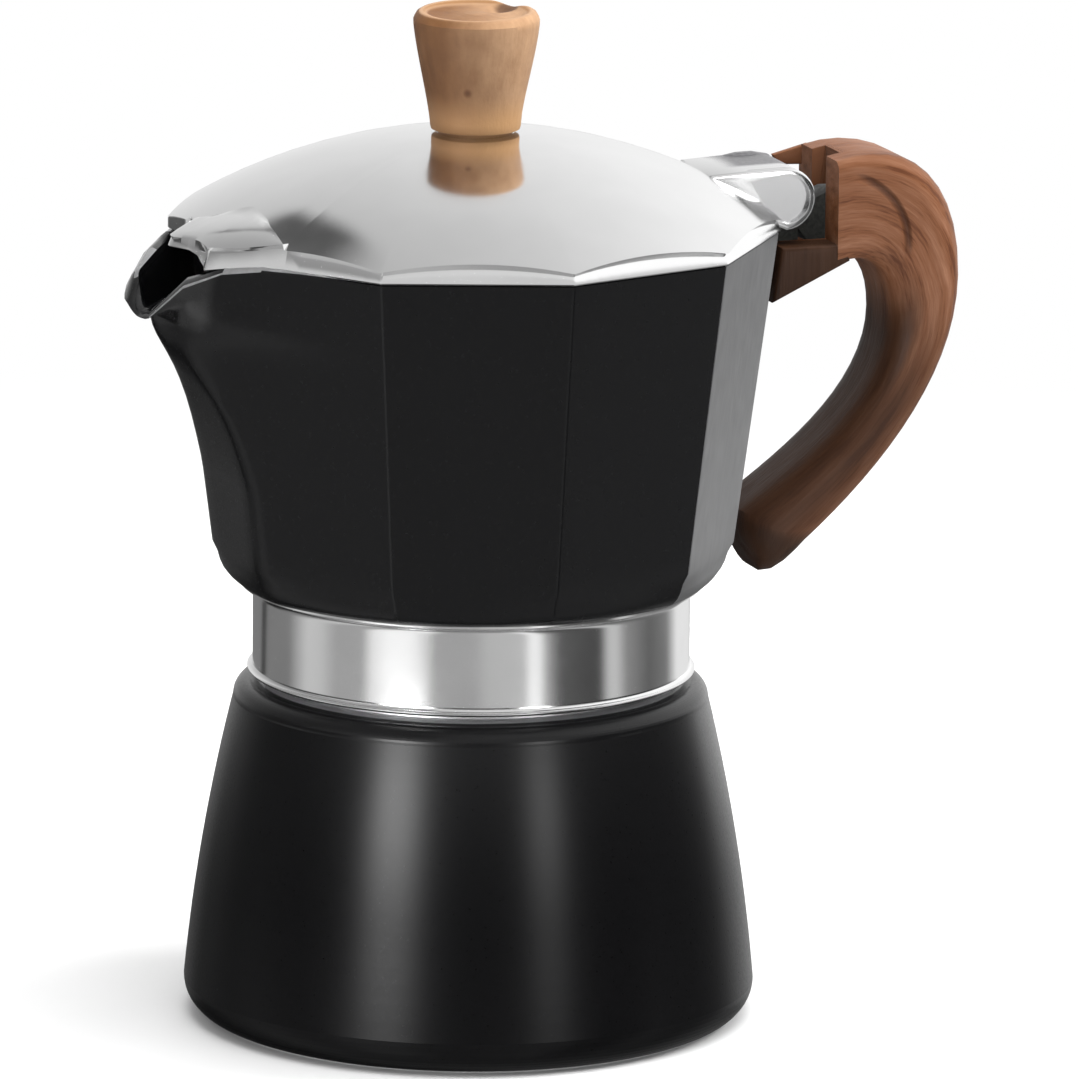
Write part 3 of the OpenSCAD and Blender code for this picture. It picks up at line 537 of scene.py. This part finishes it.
def wall_points(level, wall, foot):
    """Ring at a share of the way up, from 0 at foot to 1 at the rim, its foot rounded off."""
    spots = body_outline(foot + level * (rim_z - foot), wall)
    heights = [foot + level * (rim_height(s) - foot) for s in spots]
    for settling in range(3):
        spots = [body_outline(z, wall)[i] for i, z in enumerate(heights)]
        heights = [foot + level * (rim_height(s) - foot) for s in spots]
    ring_points = []
    for s, z in zip(spots, heights):
        if wall == 0 and z < 74:
            limit = 34.5 + math.sqrt(max(foot_round ** 2 - (body_foot + foot_round - z) ** 2, 0))
            share = s.length / limit
            s = s * (1 + share ** tightness) ** (-1 / tightness)
        ring_points.append((s.x, s.y, z))
    return ring_points


# Outside, edge, rolled rim and inside are one wall, grown ring by ring.
levels = [0, 0.008, 0.02, 0.036, 0.056, 0.08, 0.11, 0.16, 0.24, 0.32, 0.36, 0.42, 0.48, 0.54,
          0.6, 0.66, 0.71, 0.755, 0.79, 0.82, 0.845, 0.87, 0.895, 0.92, 0.945, 0.965, 0.985, 0.9965]
shell = bmesh.new()
loop = ring(shell, wall_points(levels[0], 0, body_foot))
for level in levels[1:]:
    loop = grow(shell, loop, wall_points(level, 0, body_foot))
rim_loop = set(loop)
spout_wall = [v for v in shell.verts if v.co.x < -45.5 and v.co.z > 103 and v not in rim_loop]
for smoothing in range(8):
    bmesh.ops.smooth_vert(shell, verts=spout_wall, factor=0.5, use_axis_x=True, use_axis_y=True,
                          use_axis_z=True)
outer_faces = set(shell.faces)
loop = grow(shell, loop, wall_points(1.0, 0.3, body_foot))
edge_faces = set(shell.faces) - outer_faces
for level, wall in [(1.007, 0.8), (1.007, 1.4), (0.998, 2.0), (0.98, 2.35)]:
    loop = grow(shell, loop, wall_points(level, wall, body_foot))
rim_faces = set(shell.faces) - outer_faces
for level in [0.94, 0.9, 0.86, 0.82, 0.78, 0.73, 0.66, 0.58, 0.5, 0.4, 0.28, 0.14, 0.05, 0.0]:
    loop = grow(shell, loop, wall_points(level, wall_inside, chamber_floor - 0.5))


def close_end(mesh, loop):
    """Fills a closed loop of vertices with one face."""
    held = set(loop)
    bmesh.ops.contextual_create(mesh, geom=[edge for edge in mesh.edges if edge.verts[0] in held
                                            and edge.verts[1] in held])


close_end(shell, loop)
for face in shell.faces:
    middle = face.calc_center_median()
    if face in rim_faces:
        edge_line = face in edge_faces and middle.y < -1.5 and -53.4 < middle.x < -43
        # Bare metal patches on top of the black lip stand in for its highlights: painted glints.
        lip_glint_patch = face.normal.z > 0.7 and middle.x < -48.5 and (middle.y < -4 or middle.y > 0.5)
        rim_top = face not in edge_faces and middle.x > -45
        face.material_index = 1 if edge_line or lip_glint_patch or rim_top else 0
    elif face not in outer_faces:
        face.material_index = 2

enamel, shader, spot = finish("black_body_paint")
x, y, z = spot.xyz()
bare = (x * 1.3764 - y.maths("ABSOLUTE")).between(-0.12, 0.12)
speckle = grain(spot, 1.6, 2.0)
brushed = spot.node("ShaderNodeMapping", None, {"Vector": spot, "Scale": (1.5, 1.5, 0.06)})
brushed = grain(brushed, 1.2, 4.0)
coat = speckle.mixed((0.003, 0.003, 0.0033, 1), (0.0055, 0.0055, 0.006, 1))
# Bare facets: brushed tone, and paler towards the foot of the body, a painted reflection.
brushed_and_sheen = brushed * 0.35 + z.between(123, 75) * 0.65
brushed_and_sheen = brushed_and_sheen.mixed((0.21, 0.21, 0.215, 1), (0.36, 0.36, 0.365, 1))
lip = x.between(-46.0, -47.5) * z.between(111.0, 113.0)
coat_dull, metal_dull = speckle.between(0.2, 0.8, 0.20, 0.28), brushed.between(0.2, 0.8, 0.34, 0.44)
feed(shader, Metallic=bare, Normal=bump(speckle, 0.004), Coat_Weight=lip, Coat_Roughness=0.08,
     Base_Color=bare.mixed(coat, brushed_and_sheen), Roughness=bare.mixed(coat_dull, metal_dull),
     Specular_IOR_Level=0.25)

chamber, shader, spot = finish("cast_chamber")
x, y, z = spot.xyz()
sand = grain(spot, 0.7, 4.0)
sandy = sand.between(0.25, 0.75).mixed((0.60, 0.60, 0.61, 1), (0.74, 0.74, 0.75, 1))
painted = x.between(-38.5, -40.0) * z.between(92.0, 95.0)
feed(shader, Metallic=1 - painted, Normal=bump(sand, 0.02),
     Base_Color=painted.mixed(sandy, (0.004, 0.004, 0.0045, 1)),
     Roughness=sand.between(0.3, 0.7, 0.32, 0.50) * (1 - painted * 0.5))
body = piece("collector_body", shell, "collector", [enamel, cast, chamber],
             ["collector"])
body.modifiers.new("even_shading", "WEIGHTED_NORMAL").keep_sharp = True

# Bracket: the tongue and tang behind the rim, cast in one with the body. The tongue
# carries the hinge pin and the tang runs into the handle's slot, under the screw.
pin_x, pin_z = 48.4046, 127.0
tang_half = 2.95


def plate(outline, low, high, edge, corner=0.0):
    """A bmesh of an outline in x and z, along Y from low to high, its edges rounded."""
    mesh = bmesh.new()
    made = ring(mesh, [(x, low, z) for x, z in outline])
    bmesh.ops.contextual_create(mesh, geom=made)
    thick = bmesh.ops.extrude_face_region(mesh, geom=mesh.faces[:])["geom"]
    bmesh.ops.translate(mesh, vec=(0, high - low, 0),
                        verts=[part for part in thick if isinstance(part, bmesh.types.BMVert)])
    for across, offset in ((True, corner), (False, edge)):
        edges = [e for e in mesh.edges if (abs(e.verts[0].co.y - e.verts[1].co.y) > 1) == across]
        if offset:
            bmesh.ops.bevel(mesh, geom=edges, offset=offset, segments=3, affect="EDGES",
                            profile=0.5, material=-1, clamp_overlap=True)
    bmesh.ops.recalc_face_normals(mesh, faces=mesh.faces)
    return mesh


bracket = plate([
    (42.2, 109.9), (56.4, 118.2), (64.4, 118.2), (64.4, 127.2), (57.2, 127.2), (57.2, 122.0),
    (53.4, 119.4), (52.1, 119.4), (52.1, 121.2), (51.6, 124.6), (51.58, 126.7), (50.9, 129.0),
    (48.9, 130.1), (46.9, 129.8), (45.4, 128.2), (45.2, 126.6), (45.6, 125.0), (45.6, 123.1),
    (42.2, 123.1)], -tang_half, tang_half, 0.35)
dull, shader, spot = finish("dark_cast_aluminium")
pits = grain(spot, 1.4, 4.0, 0.6)
feed(shader, Base_Color=pits.between(0.3, 0.7).mixed((0.015, 0.015, 0.014, 1), (0.04, 0.04, 0.036, 1)),
     Metallic=0.8, Roughness=pits.between(0.3, 0.7, 0.4, 0.6), Normal=bump(pits, 0.03))
piece("handle_bracket", bracket, "collector", [dull], ["collector"])

# Lid: a thin aluminium casting, polished. Its ten-sided dome runs out into a beak over
# the spout; behind, a lug with a slot and a hollowed side turns on the hinge pin.
lid_face, lid_z, dome_mid, dome_curve, lid_wall = 44.94, 123.5, 51.3, 87.8, 1.3
beak_root, beak_turn, screw_hole_r, crown_z = 38.4, 47.2, 1.75, 139.3
# The beak's ridge and near edge as (distance out, height), and its half widths.
ridge_line = [(38, 129.9), (41, 129.0), (45, 127.6), (48, 126.1), (49.3, 125.3), (49.9, 124.8)]
edge_line = [(38.4, 127.6), (43, 125.7), (45.5, 125.0), (47.2, 124.7), (49.9, 124.5)]
near_half = [(47.2, 11.5), (48.4, 6.0), (49.3, 3.0), (49.9, 0.6)]
far_half = [(44.94, 5.0), (47.4, 2.6), (49.9, 0.2)]
beak_edge = [(0, 123.6), (7, 124.0), (9.5, 123.6), (11.0, 122.4), (11.6, 122.1)]


def dome_z(spot):
    """Height of the dome above a point in plan."""
    return dome_mid + math.sqrt(dome_curve ** 2 - spot.length_squared)


def lid_outline(wall):
    """Outline of the lid in plan, inset by the wall: nine corners and the beak."""
    face = lid_face - wall
    corners = []
    for k in (0, 1, 2, 3, 4, 6, 7, 8, 9):
        a = math.radians(18 + 36 * k)
        corners.append((face / cos18 * math.cos(a), face / cos18 * math.sin(a), 0.8))
        if k == 4:
            reach = beak_turn - 0.9 * wall
            corners += [(-face, 5.0 - 0.9 * wall, 0.5), (-47.4 + 0.6 * wall, 2.6 - 0.6 * wall, 1.5),
                        (-49.9 + 1.1 * wall, -0.5, 3.0), (-48.4 + wall, -6.0 + 0.3 * wall, 2.5),
                        (-reach, (cos36 * reach - face) / sin36, 1.0)]
    spots = rounded(corners, 4, 12)
    over = [s for s in spots if s.y < -15 and s.x < -30]
    for limit, found in ((beak_root - 0.05, [s for s in over if -s.x <= beak_root]),
                         (beak_root + 0.15, [s for s in over if -s.x > beak_root])):
        near = min(found, key=lambda s: abs(-s.x - beak_root))
        near.x, near.y = -limit, (cos36 * limit - face) / sin36
    return spots


def root_share(spot):
    """How far out towards a point of the outline the dome reaches before the beak."""
    root = beak_root + 6.3 * step(spot.y, -9, 2)
    return (root - 0.4) / -spot.x if -spot.x > root + 0.1 and spot.y < 4.9 else 1


def beak_z(spot):
    """Height of the beak's roof above a point in plan."""
    out = -spot.x
    if spot.y < 0:
        side = (lid_face - cos36 * out) / sin36
        half = side if out < beak_turn else along(near_half, out)
        low, power = along(edge_line, out), 4.0
    else:
        half, low, power = along(far_half, out), 124.5, 1.6
    return low + (along(ridge_line, out) - low) * (1 - min(1, abs(spot.y) / half) ** power)


def lid_ring(spots, share, wall):
    """A ring of the lid: share 0 to 1 reaches the beak's root, 1 to 2 its outline."""
    made = []
    for s in spots:
        root = root_share(s)
        if share <= 1:
            place = s * (root * share)
            z = dome_z(place)
        else:
            fold = min(1, root + 0.012)
            place = s * (fold + (1 - fold) * (share - 1))
            z = beak_z(place) if root < 1 else dome_z(place)
        made.append(Vector((place.x, place.y, z - 1.05 * wall)))
    return made


def lower_edge(spot):
    """Height of the lid's lower edge at a point of its outline."""
    if -spot.x < beak_root or (spot.y > 4.9 and -spot.x < 45.1):
        return lid_z
    if spot.y > -11.3:
        return along(beak_edge, abs(spot.y))
    return min(lid_z, rim_height(spot) + 0.12)


# The lid is one wall too: from the screw hole over the dome, round the edge and back.
outside, inside = lid_outline(0), lid_outline(lid_wall)
rings = []
for r, z in [(screw_hole_r, crown_z), (5.6, crown_z), (5.8, crown_z - 0.15),
             (6.0, dome_z(Vector((6.0, 0)))), (9, dome_z(Vector((9, 0))))]:
    rings.append([Vector((*(s.normalized() * r), z)) for s in outside])
shares = [0.3, 0.4, 0.5, 0.6, 0.7, 0.78, 0.86, 0.92, 0.965, 0.99,
          1, 1.0001, 1.2, 1.4, 1.6, 1.75, 1.88, 1.94]
rings += [lid_ring(outside, share, 0) for share in shares]
top = lid_ring(outside, 2, 0)
band = []
for s, t in zip(outside, top):
    rounding = 0.4 if root_share(s) < 1 else 0.15
    turned_in = (t.z - lower_edge(s) - rounding) * (0.33 if s.y < 3 or s.x > 0 else 0) / s.length
    band.append((Vector((*(s * (1 - turned_in - 0.004)), t.z - 0.1 * rounding)),
                 Vector((*(s * (1 - turned_in)), t.z - rounding))))
rings += [[b[0] for b in band], [b[1] for b in band]]
rings.append([Vector((s.x, s.y, lower_edge(s) + 0.2)) for s in outside])
rings.append([Vector((*(s * 0.996), lower_edge(s))) for s in outside])
under_top = lid_ring(inside, 2, lid_wall)
rings.append([Vector((s.x, s.y, lower_edge(s))) for s in inside])
rings.append([Vector((t.x, t.y, max(t.z, lower_edge(t.xy) + 0.1))) for t in under_top])
for share in [1.9, 1.7, 1.4, 1.0001, 1, 0.96, 0.9, 0.8, 0.7, 0.6, 0.5, 0.4, 0.3]:
    level = lid_ring(inside, share, lid_wall)
    rings.append([Vector((t.x, t.y, max(t.z, lower_edge(s) + 0.1) if share > 1 else t.z))
                  for t, s in zip(level, inside)])
for r in (7.5, screw_hole_r):
    rings.append([Vector((*(s.normalized() * r), crown_z - 1.7)) for s in inside])
rings.append(rings[0])
lid = bmesh.new()
loop = ring(lid, rings[0])
for points in rings[1:]:
    loop = grow(lid, loop, points)


def cut(mesh, tool):
    """The first bmesh less the second, both closed, in mm; both are used up."""
    holders = []
    for part in (mesh, tool):
        data = bpy.data.meshes.new("blank")
        part.to_mesh(data)
        part.free()
        holders.append(bpy.data.objects.new("blank", data))
        scene.collection.objects.link(holders[-1])
    taken = holders[0].modifiers.new("cut", "BOOLEAN")
    taken.operation = "DIFFERENCE"
    taken.solver = "EXACT"
    taken.object = holders[1]
    made = bmesh.new()
    made.from_object(holders[0], bpy.context.evaluated_depsgraph_get())
    for holder in holders:
        data = holder.data
        bpy.data.objects.remove(holder)
        bpy.data.meshes.remove(data)
    return made


def arc(centre_x, centre_z, r, start, end, count):
    """Points on an arc about the centre, from one angle in degrees to another."""
    angles = [math.radians(start + (end - start) * i / count) for i in range(count + 1)]
    return [(centre_x + r * math.cos(a), centre_z + r * math.sin(a)) for a in angles]


def join(mesh, *parts):
    """Adds the other bmeshes to the first; they are used up."""
    for part in parts:
        data = bpy.data.meshes.new("blank")
        part.to_mesh(data)
        part.free()
        mesh.from_mesh(data)
        bpy.data.meshes.remove(data)


ear_r, ear_half, slot_r, slot_half = 4.9, 7.3, 3.6, 3.3
lug = plate([(35.5, 130.9), (36.2, 131.4), (42.5, 131.75)] + arc(pin_x, pin_z, ear_r, 90, -88, 16)
            + [(45.2, 123.6), (43.5, 123.6), (43.3, 126.5), (36.2, 130.0)], -ear_half, ear_half, 0.5)
hollow_tool = plate([(42.6, 130.0), (45.0, 130.5)] + arc(pin_x, pin_z, 3.9, 92, -92, 16)
                    + [(46.2, 124.5), (44.0, 127.6)], -ear_half - 1.2, -ear_half + 1, 0)
slot_side = [(pin_x - slot_r, 113), (62, 113), (62, 131.6), (56, 131.6)]
ear_slot_tool = plate(arc(pin_x, pin_z, slot_r, 55, 180, 12) + slot_side, -slot_half, slot_half, 0)
lug = cut(cut(lug, hollow_tool), ear_slot_tool)
far_ridge = plate([(41.5, 130.6), (42.6, 131.7), (45.0, 132.15), (47.6, 132.2), (50.2, 131.7),
                   (51.0, 130.9), (50.0, 130.0), (43.0, 130.0)], 5.4, 7.35, 0.45)
join(lid, lug, far_ridge)

bright, shader, spot = finish("polished_lid")
x, y, z = spot.xyz()
soft = grain(spot, 0.08, 2.0)
fine = grain(spot, 1.5, 3.0)
# The lug's top beyond the slot is rougher and coloured dark grey: the grey is painted shade.
rough_and_shaded_ear = x.between(39.5, 43.0) * (y + 2.6).between(-1.2, 0.8) * z.between(128.5, 129.5)
# The floor of the hollowed side is greyed too: painted shade in the recess.
hollow_shade = x.between(42.0, 42.5) * y.between(-6.9, -6.6) * (1 - y.between(-6.2, -6.0))
rough_and_shaded_ear = rough_and_shaded_ear.maths("MAXIMUM", hollow_shade * 0.35)
bright_tone = soft.between(0.2, 0.8).mixed((0.88, 0.88, 0.88, 1), (0.93, 0.93, 0.93, 1))
ear_shade_tone = fine.between(0.3, 0.7).mixed((0.34, 0.335, 0.35, 1), (0.42, 0.415, 0.43, 1))
feed(shader, Metallic=1.0, Normal=bump(fine, 0.0012),
     Base_Color=rough_and_shaded_ear.mixed(bright_tone, ear_shade_tone),
     Roughness=rough_and_shaded_ear * 0.3 + soft.between(0.3, 0.7, 0.09, 0.15))
piece("lid_casting", lid, "lid", [bright], ["lid"])

# Knob: turned from a light hardwood and oiled, its top hollowed by hand. A screw from
# under the lid's crown holds it down on the casting.
knob_foot, knob_top, knob_r, bore_r = 139.32, 158.1, 9.8, 1.6
profile = [(bore_r, knob_foot), (6.5, knob_foot), (6.85, knob_foot + 0.15), (6.95, knob_foot + 0.5)]
profile += curve([(6.98, 139.9), (7.3, 144.2), (9.2, 150.6), (knob_r - 0.03, 155.6)], 14)
profile += [(knob_r, 156.4), (knob_r - 0.12, 157.1), (knob_r - 0.5, 157.75), (knob_r - 1.0, 158.05),
            (knob_r - 1.5, knob_top), (knob_r - 1.9, 157.95), (knob_r - 2.4, 157.6), (6.4, 157.35),
            (4.0, 157.25), (bore_r, 157.3), (0.01, 157.3), (0.01, 151.0), (bore_r, 151.0)]
knob = turned_piece(profile, 96)
for vert in knob.verts:
    x, y, z = vert.co
    a = math.atan2(y, x)
    r = math.hypot(x, y)
    if r > 3 and z > 141:
        lump = 0.990 + 0.007 * math.sin(2 * a + 0.4 + z * 0.10)
        lump += 0.005 * math.sin(3 * a + 1.9 - z * 0.2)
        vert.co.x, vert.co.y = x * lump, y * lump
    if z > 156.5 and r > 3:
        chip = 0.7 * math.exp(-((a - 0.55) / 0.28) ** 2)
        vert.co.z = z - 0.35 + 0.30 * math.sin(a + 0.5) - chip

tan_wood, shader, spot = finish("light_oiled_wood")
swirl = grain(spot, 0.09, 3.0)
long_grain = spot.node("ShaderNodeMapping", None, {"Vector": spot, "Scale": (1.0, 1.0, 0.14)})
fibre_lines = grain(long_grain, 0.9, 4.0, 0.6)
clouds = grain(spot, 0.22, 4.0, 0.6)
knot = spot.node("ShaderNodeVectorMath", {"operation": "DISTANCE"},
                 {0: spot, 1: (-3.9, -7.4, 146.0)}, out=1)
r, z = radius(spot)
tone = clouds * 0.6 + fibre_lines * 0.4
x, y, z = spot.xyz()
# Darker on the left and paler on the right as seen from the camera, with a swirl: painted shade and
# light. pale is the lit tone, dark the shaded one.
painted_side_shade = (x * 0.95 - y * 0.32 + (swirl - 0.5) * 6).between(6.5, -7.0)
pale = tone.between(0.15, 0.85).mixed((0.30, 0.155, 0.072, 1), (0.52, 0.32, 0.18, 1))
dark = tone.between(0.15, 0.85).mixed((0.13, 0.050, 0.014, 1), (0.21, 0.095, 0.034, 1))
foot_tone = (painted_side_shade * 0.5).mixed((0.50, 0.28, 0.125, 1), (0.26, 0.115, 0.045, 1))
wood = z.between(146, 141).mixed(painted_side_shade.mixed(pale, dark), foot_tone)
# The rim round the hollowed top is coloured pale: a painted highlight.
hollowed = z.between(157.2, 157.6) * r.between(9.0, 8.6)
wood = hollowed.mixed(wood, (0.42, 0.25, 0.14, 1))
wood = knot.between(1.1, 0.4).mixed(wood, (0.10, 0.035, 0.010, 1))
# Darker at the chip in the rim: painted shade in the notch.
split = spot.node("ShaderNodeVectorMath", {"operation": "DISTANCE"},
                  {0: spot, 1: (6.3, 3.6, 157.5)}, out=1)
wood = (split.between(2.6, 1.4) * 0.8).mixed(wood, (0.06, 0.022, 0.010, 1))
ring_line = (z - 157.75).maths("ABSOLUTE").between(0.35, 0.0)
ring_line = ring_line * r.between(8.4, 7.9) * r.between(7.0, 7.5)
feed(shader, Base_Color=ring_line.mixed(wood, (0.30, 0.15, 0.06, 1)),
     Roughness=tone.between(0.3, 0.7, 0.5, 0.65), Normal=bump(clouds * 0.7 + fibre_lines * 0.3, 0.25))
piece("turned_knob", knob, "lid", [tan_wood], ["knob"])

# Handle: walnut-brown wood, cut as a fork over the tang and carved round towards the
# grip; a block below the fork meets the body and one screw crosses the fork.
front_x, back_x, grip_x, half_w = 56.4, 77.9, 66.3, 9.0
outer = curve([(front_x, 132.7), (67.5, 135.7), (back_x, 130.5), (back_x, 113.4)], 11)
outer += curve([(back_x, 113.4), (back_x, 98.0), (65.35, 82.8), (52.95, 72.4)], 15)[1:]
inner = curve([(front_x, 116.8), (62.8, 118.6), (grip_x, 114.5), (grip_x, 107.0)], 11)
inner += curve([(grip_x, 107.0), (grip_x, 93.5), (52.0, 84.6), (42.4, 77.7)], 15)[1:]
# Each cut through the handle: inner and outer point, half width, how round it is.
stations = [(near, far, half_w, step(k, 0, 9))
            for k, (near, far) in enumerate(zip(inner, outer))]
stations += [((42.2, 76.6), (51.6, 70.9), 8.7, 1), ((42.3, 75.2), (49.8, 69.2), 8.0, 1),
             ((42.7, 73.6), (47.8, 67.9), 6.9, 1), ((43.6, 72.0), (46.0, 67.6), 5.2, 1)]
stations.insert(0, ((front_x, 117.4), (front_x, 132.2), half_w - 0.5, 0))
handle = bmesh.new()
grain_layer = handle.verts.layers.float_vector.new("grain")
loop, length, before = None, 0.0, None
for (ix, iz), (ox, oz), half, ease in stations:
    start, across = Vector((ix, 0, iz)), Vector((ox - ix, 0, oz - iz))
    deep = across.length
    middle = start + across / 2
    length += (middle - before).length if before else 0
    before = middle
    inner_r = min(0.9 + 4.6 * ease, 0.45 * deep)
    outer_r = min(1.6 + 3.2 * ease, 0.45 * deep)
    section = rounded([(0, -half, inner_r), (deep, -half, outer_r), (deep, half, outer_r),
                       (0, half, inner_r)], 6, 3)
    points = [start + across * (s.x / deep) + Vector((0, s.y, 0)) for s in section]
    if loop is None:
        loop = ring(handle, points)
        bmesh.ops.contextual_create(handle, geom=loop)
    else:
        loop = grow(handle, loop, points)
    for vert, s in zip(loop, section):
        vert[grain_layer] = (length, s.x, s.y)
close_end(handle, loop)
bmesh.ops.recalc_face_normals(handle, faces=handle.faces)


def fork_slot_tool():
    """What is cut from the handle for the tang, in side view, with room at its sides."""
    wide = tang_half + 0.2
    return plate([(40, 100), (57.8, 100), (57.8, 117.9), (64.7, 117.9), (64.7, 127.8),
                  (58.9, 130.8), (58.2, 136), (40, 136)], -wide, wide, 0)


block_half = half_w - 0.1
block = plate([(45.95, 111.0), (58.6, 117.0), (58.6, 119.7), (47.2, 119.7)],
              -block_half, block_half, 0.7)
horn = plate([(51.6, 131.2), (57.4, 132.7), (57.4, 129.4), (52.4, 129.6)], 7.75, 8.95, 0.3)
layer = block.verts.layers.float_vector.new("grain")
for vert in block.verts:
    vert[layer] = (vert.co.z * 0.6 + 80, vert.co.x - 50, vert.co.y)
handle, block = cut(handle, fork_slot_tool()), cut(block, fork_slot_tool())
join(handle, block, horn)

walnut, shader, spot = finish("brown_walnut")
x, y, z = spot.xyz()
bent = spot.node("ShaderNodeAttribute", {"attribute_name": "grain"}, None, out=1)
streak_place = spot.node("ShaderNodeMapping", None, {"Vector": bent, "Scale": (0.05, 0.55, 0.35)})
streaks = grain(streak_place, 1.0, 4.0, 0.6)
fine_place = spot.node("ShaderNodeMapping", None, {"Vector": bent, "Scale": (0.25, 3.0, 3.0)})
pores = grain(fine_place, 1.0, 3.0)
pad = ((x - 56.6) * (x - 56.6) + (z - 119.1) * (z - 119.1)).maths("SQRT")
sides = y.maths("ABSOLUTE").between(7.6, 8.3)
# A crease round the pad by the screw, sunk by the bump and darkened in colour: painted shade in the
# crease.
crease = pad.between(10.6, 11.4) * pad.between(12.3, 11.5) * sides
crease = crease * x.between(58.5, 63.0) * z.between(116.0, 120.0)
tone = streaks * 0.7 + pores * 0.3
run, deep = bent.xyz()[:2]
brown = tone.node("ShaderNodeValToRGB", {"stops": [
    (0.0, (0.05, 0.017, 0.007)), (0.38, (0.10, 0.034, 0.014)), (0.47, (0.17, 0.066, 0.029)),
    (0.55, (0.20, 0.086, 0.044)), (0.64, (0.245, 0.113, 0.062)), (1.0, (0.34, 0.17, 0.10))]},
    {"Fac": tone})
# Painted shade: darker on the inner side of the grip, lower down towards the inside, and at the foot
# end.
painted_handle_shade = deep.between(7.5, 2.0) * run.between(16, 30) * 0.85
painted_handle_shade = painted_handle_shade.maths("MAXIMUM", run.between(20, 45) * deep.between(13.5, 5.0, 0.25, 0.8))
painted_handle_shade = painted_handle_shade.maths("MAXIMUM", run.between(64, 72) * 0.9)
brown = painted_handle_shade.mixed(brown, (0.022, 0.010, 0.005, 1))
feed(shader, Base_Color=(crease * 0.7).mixed(brown, (0.035, 0.013, 0.008, 1)),
     Roughness=pores.between(0.3, 0.7, 0.38, 0.52),
     Normal=bump(tone * 0.3 - crease * 1.2, 0.5), Specular_IOR_Level=0.2)
grip = piece("carved_handle", handle, "collector", [walnut], ["handle"])
grip.visible_glossy = False
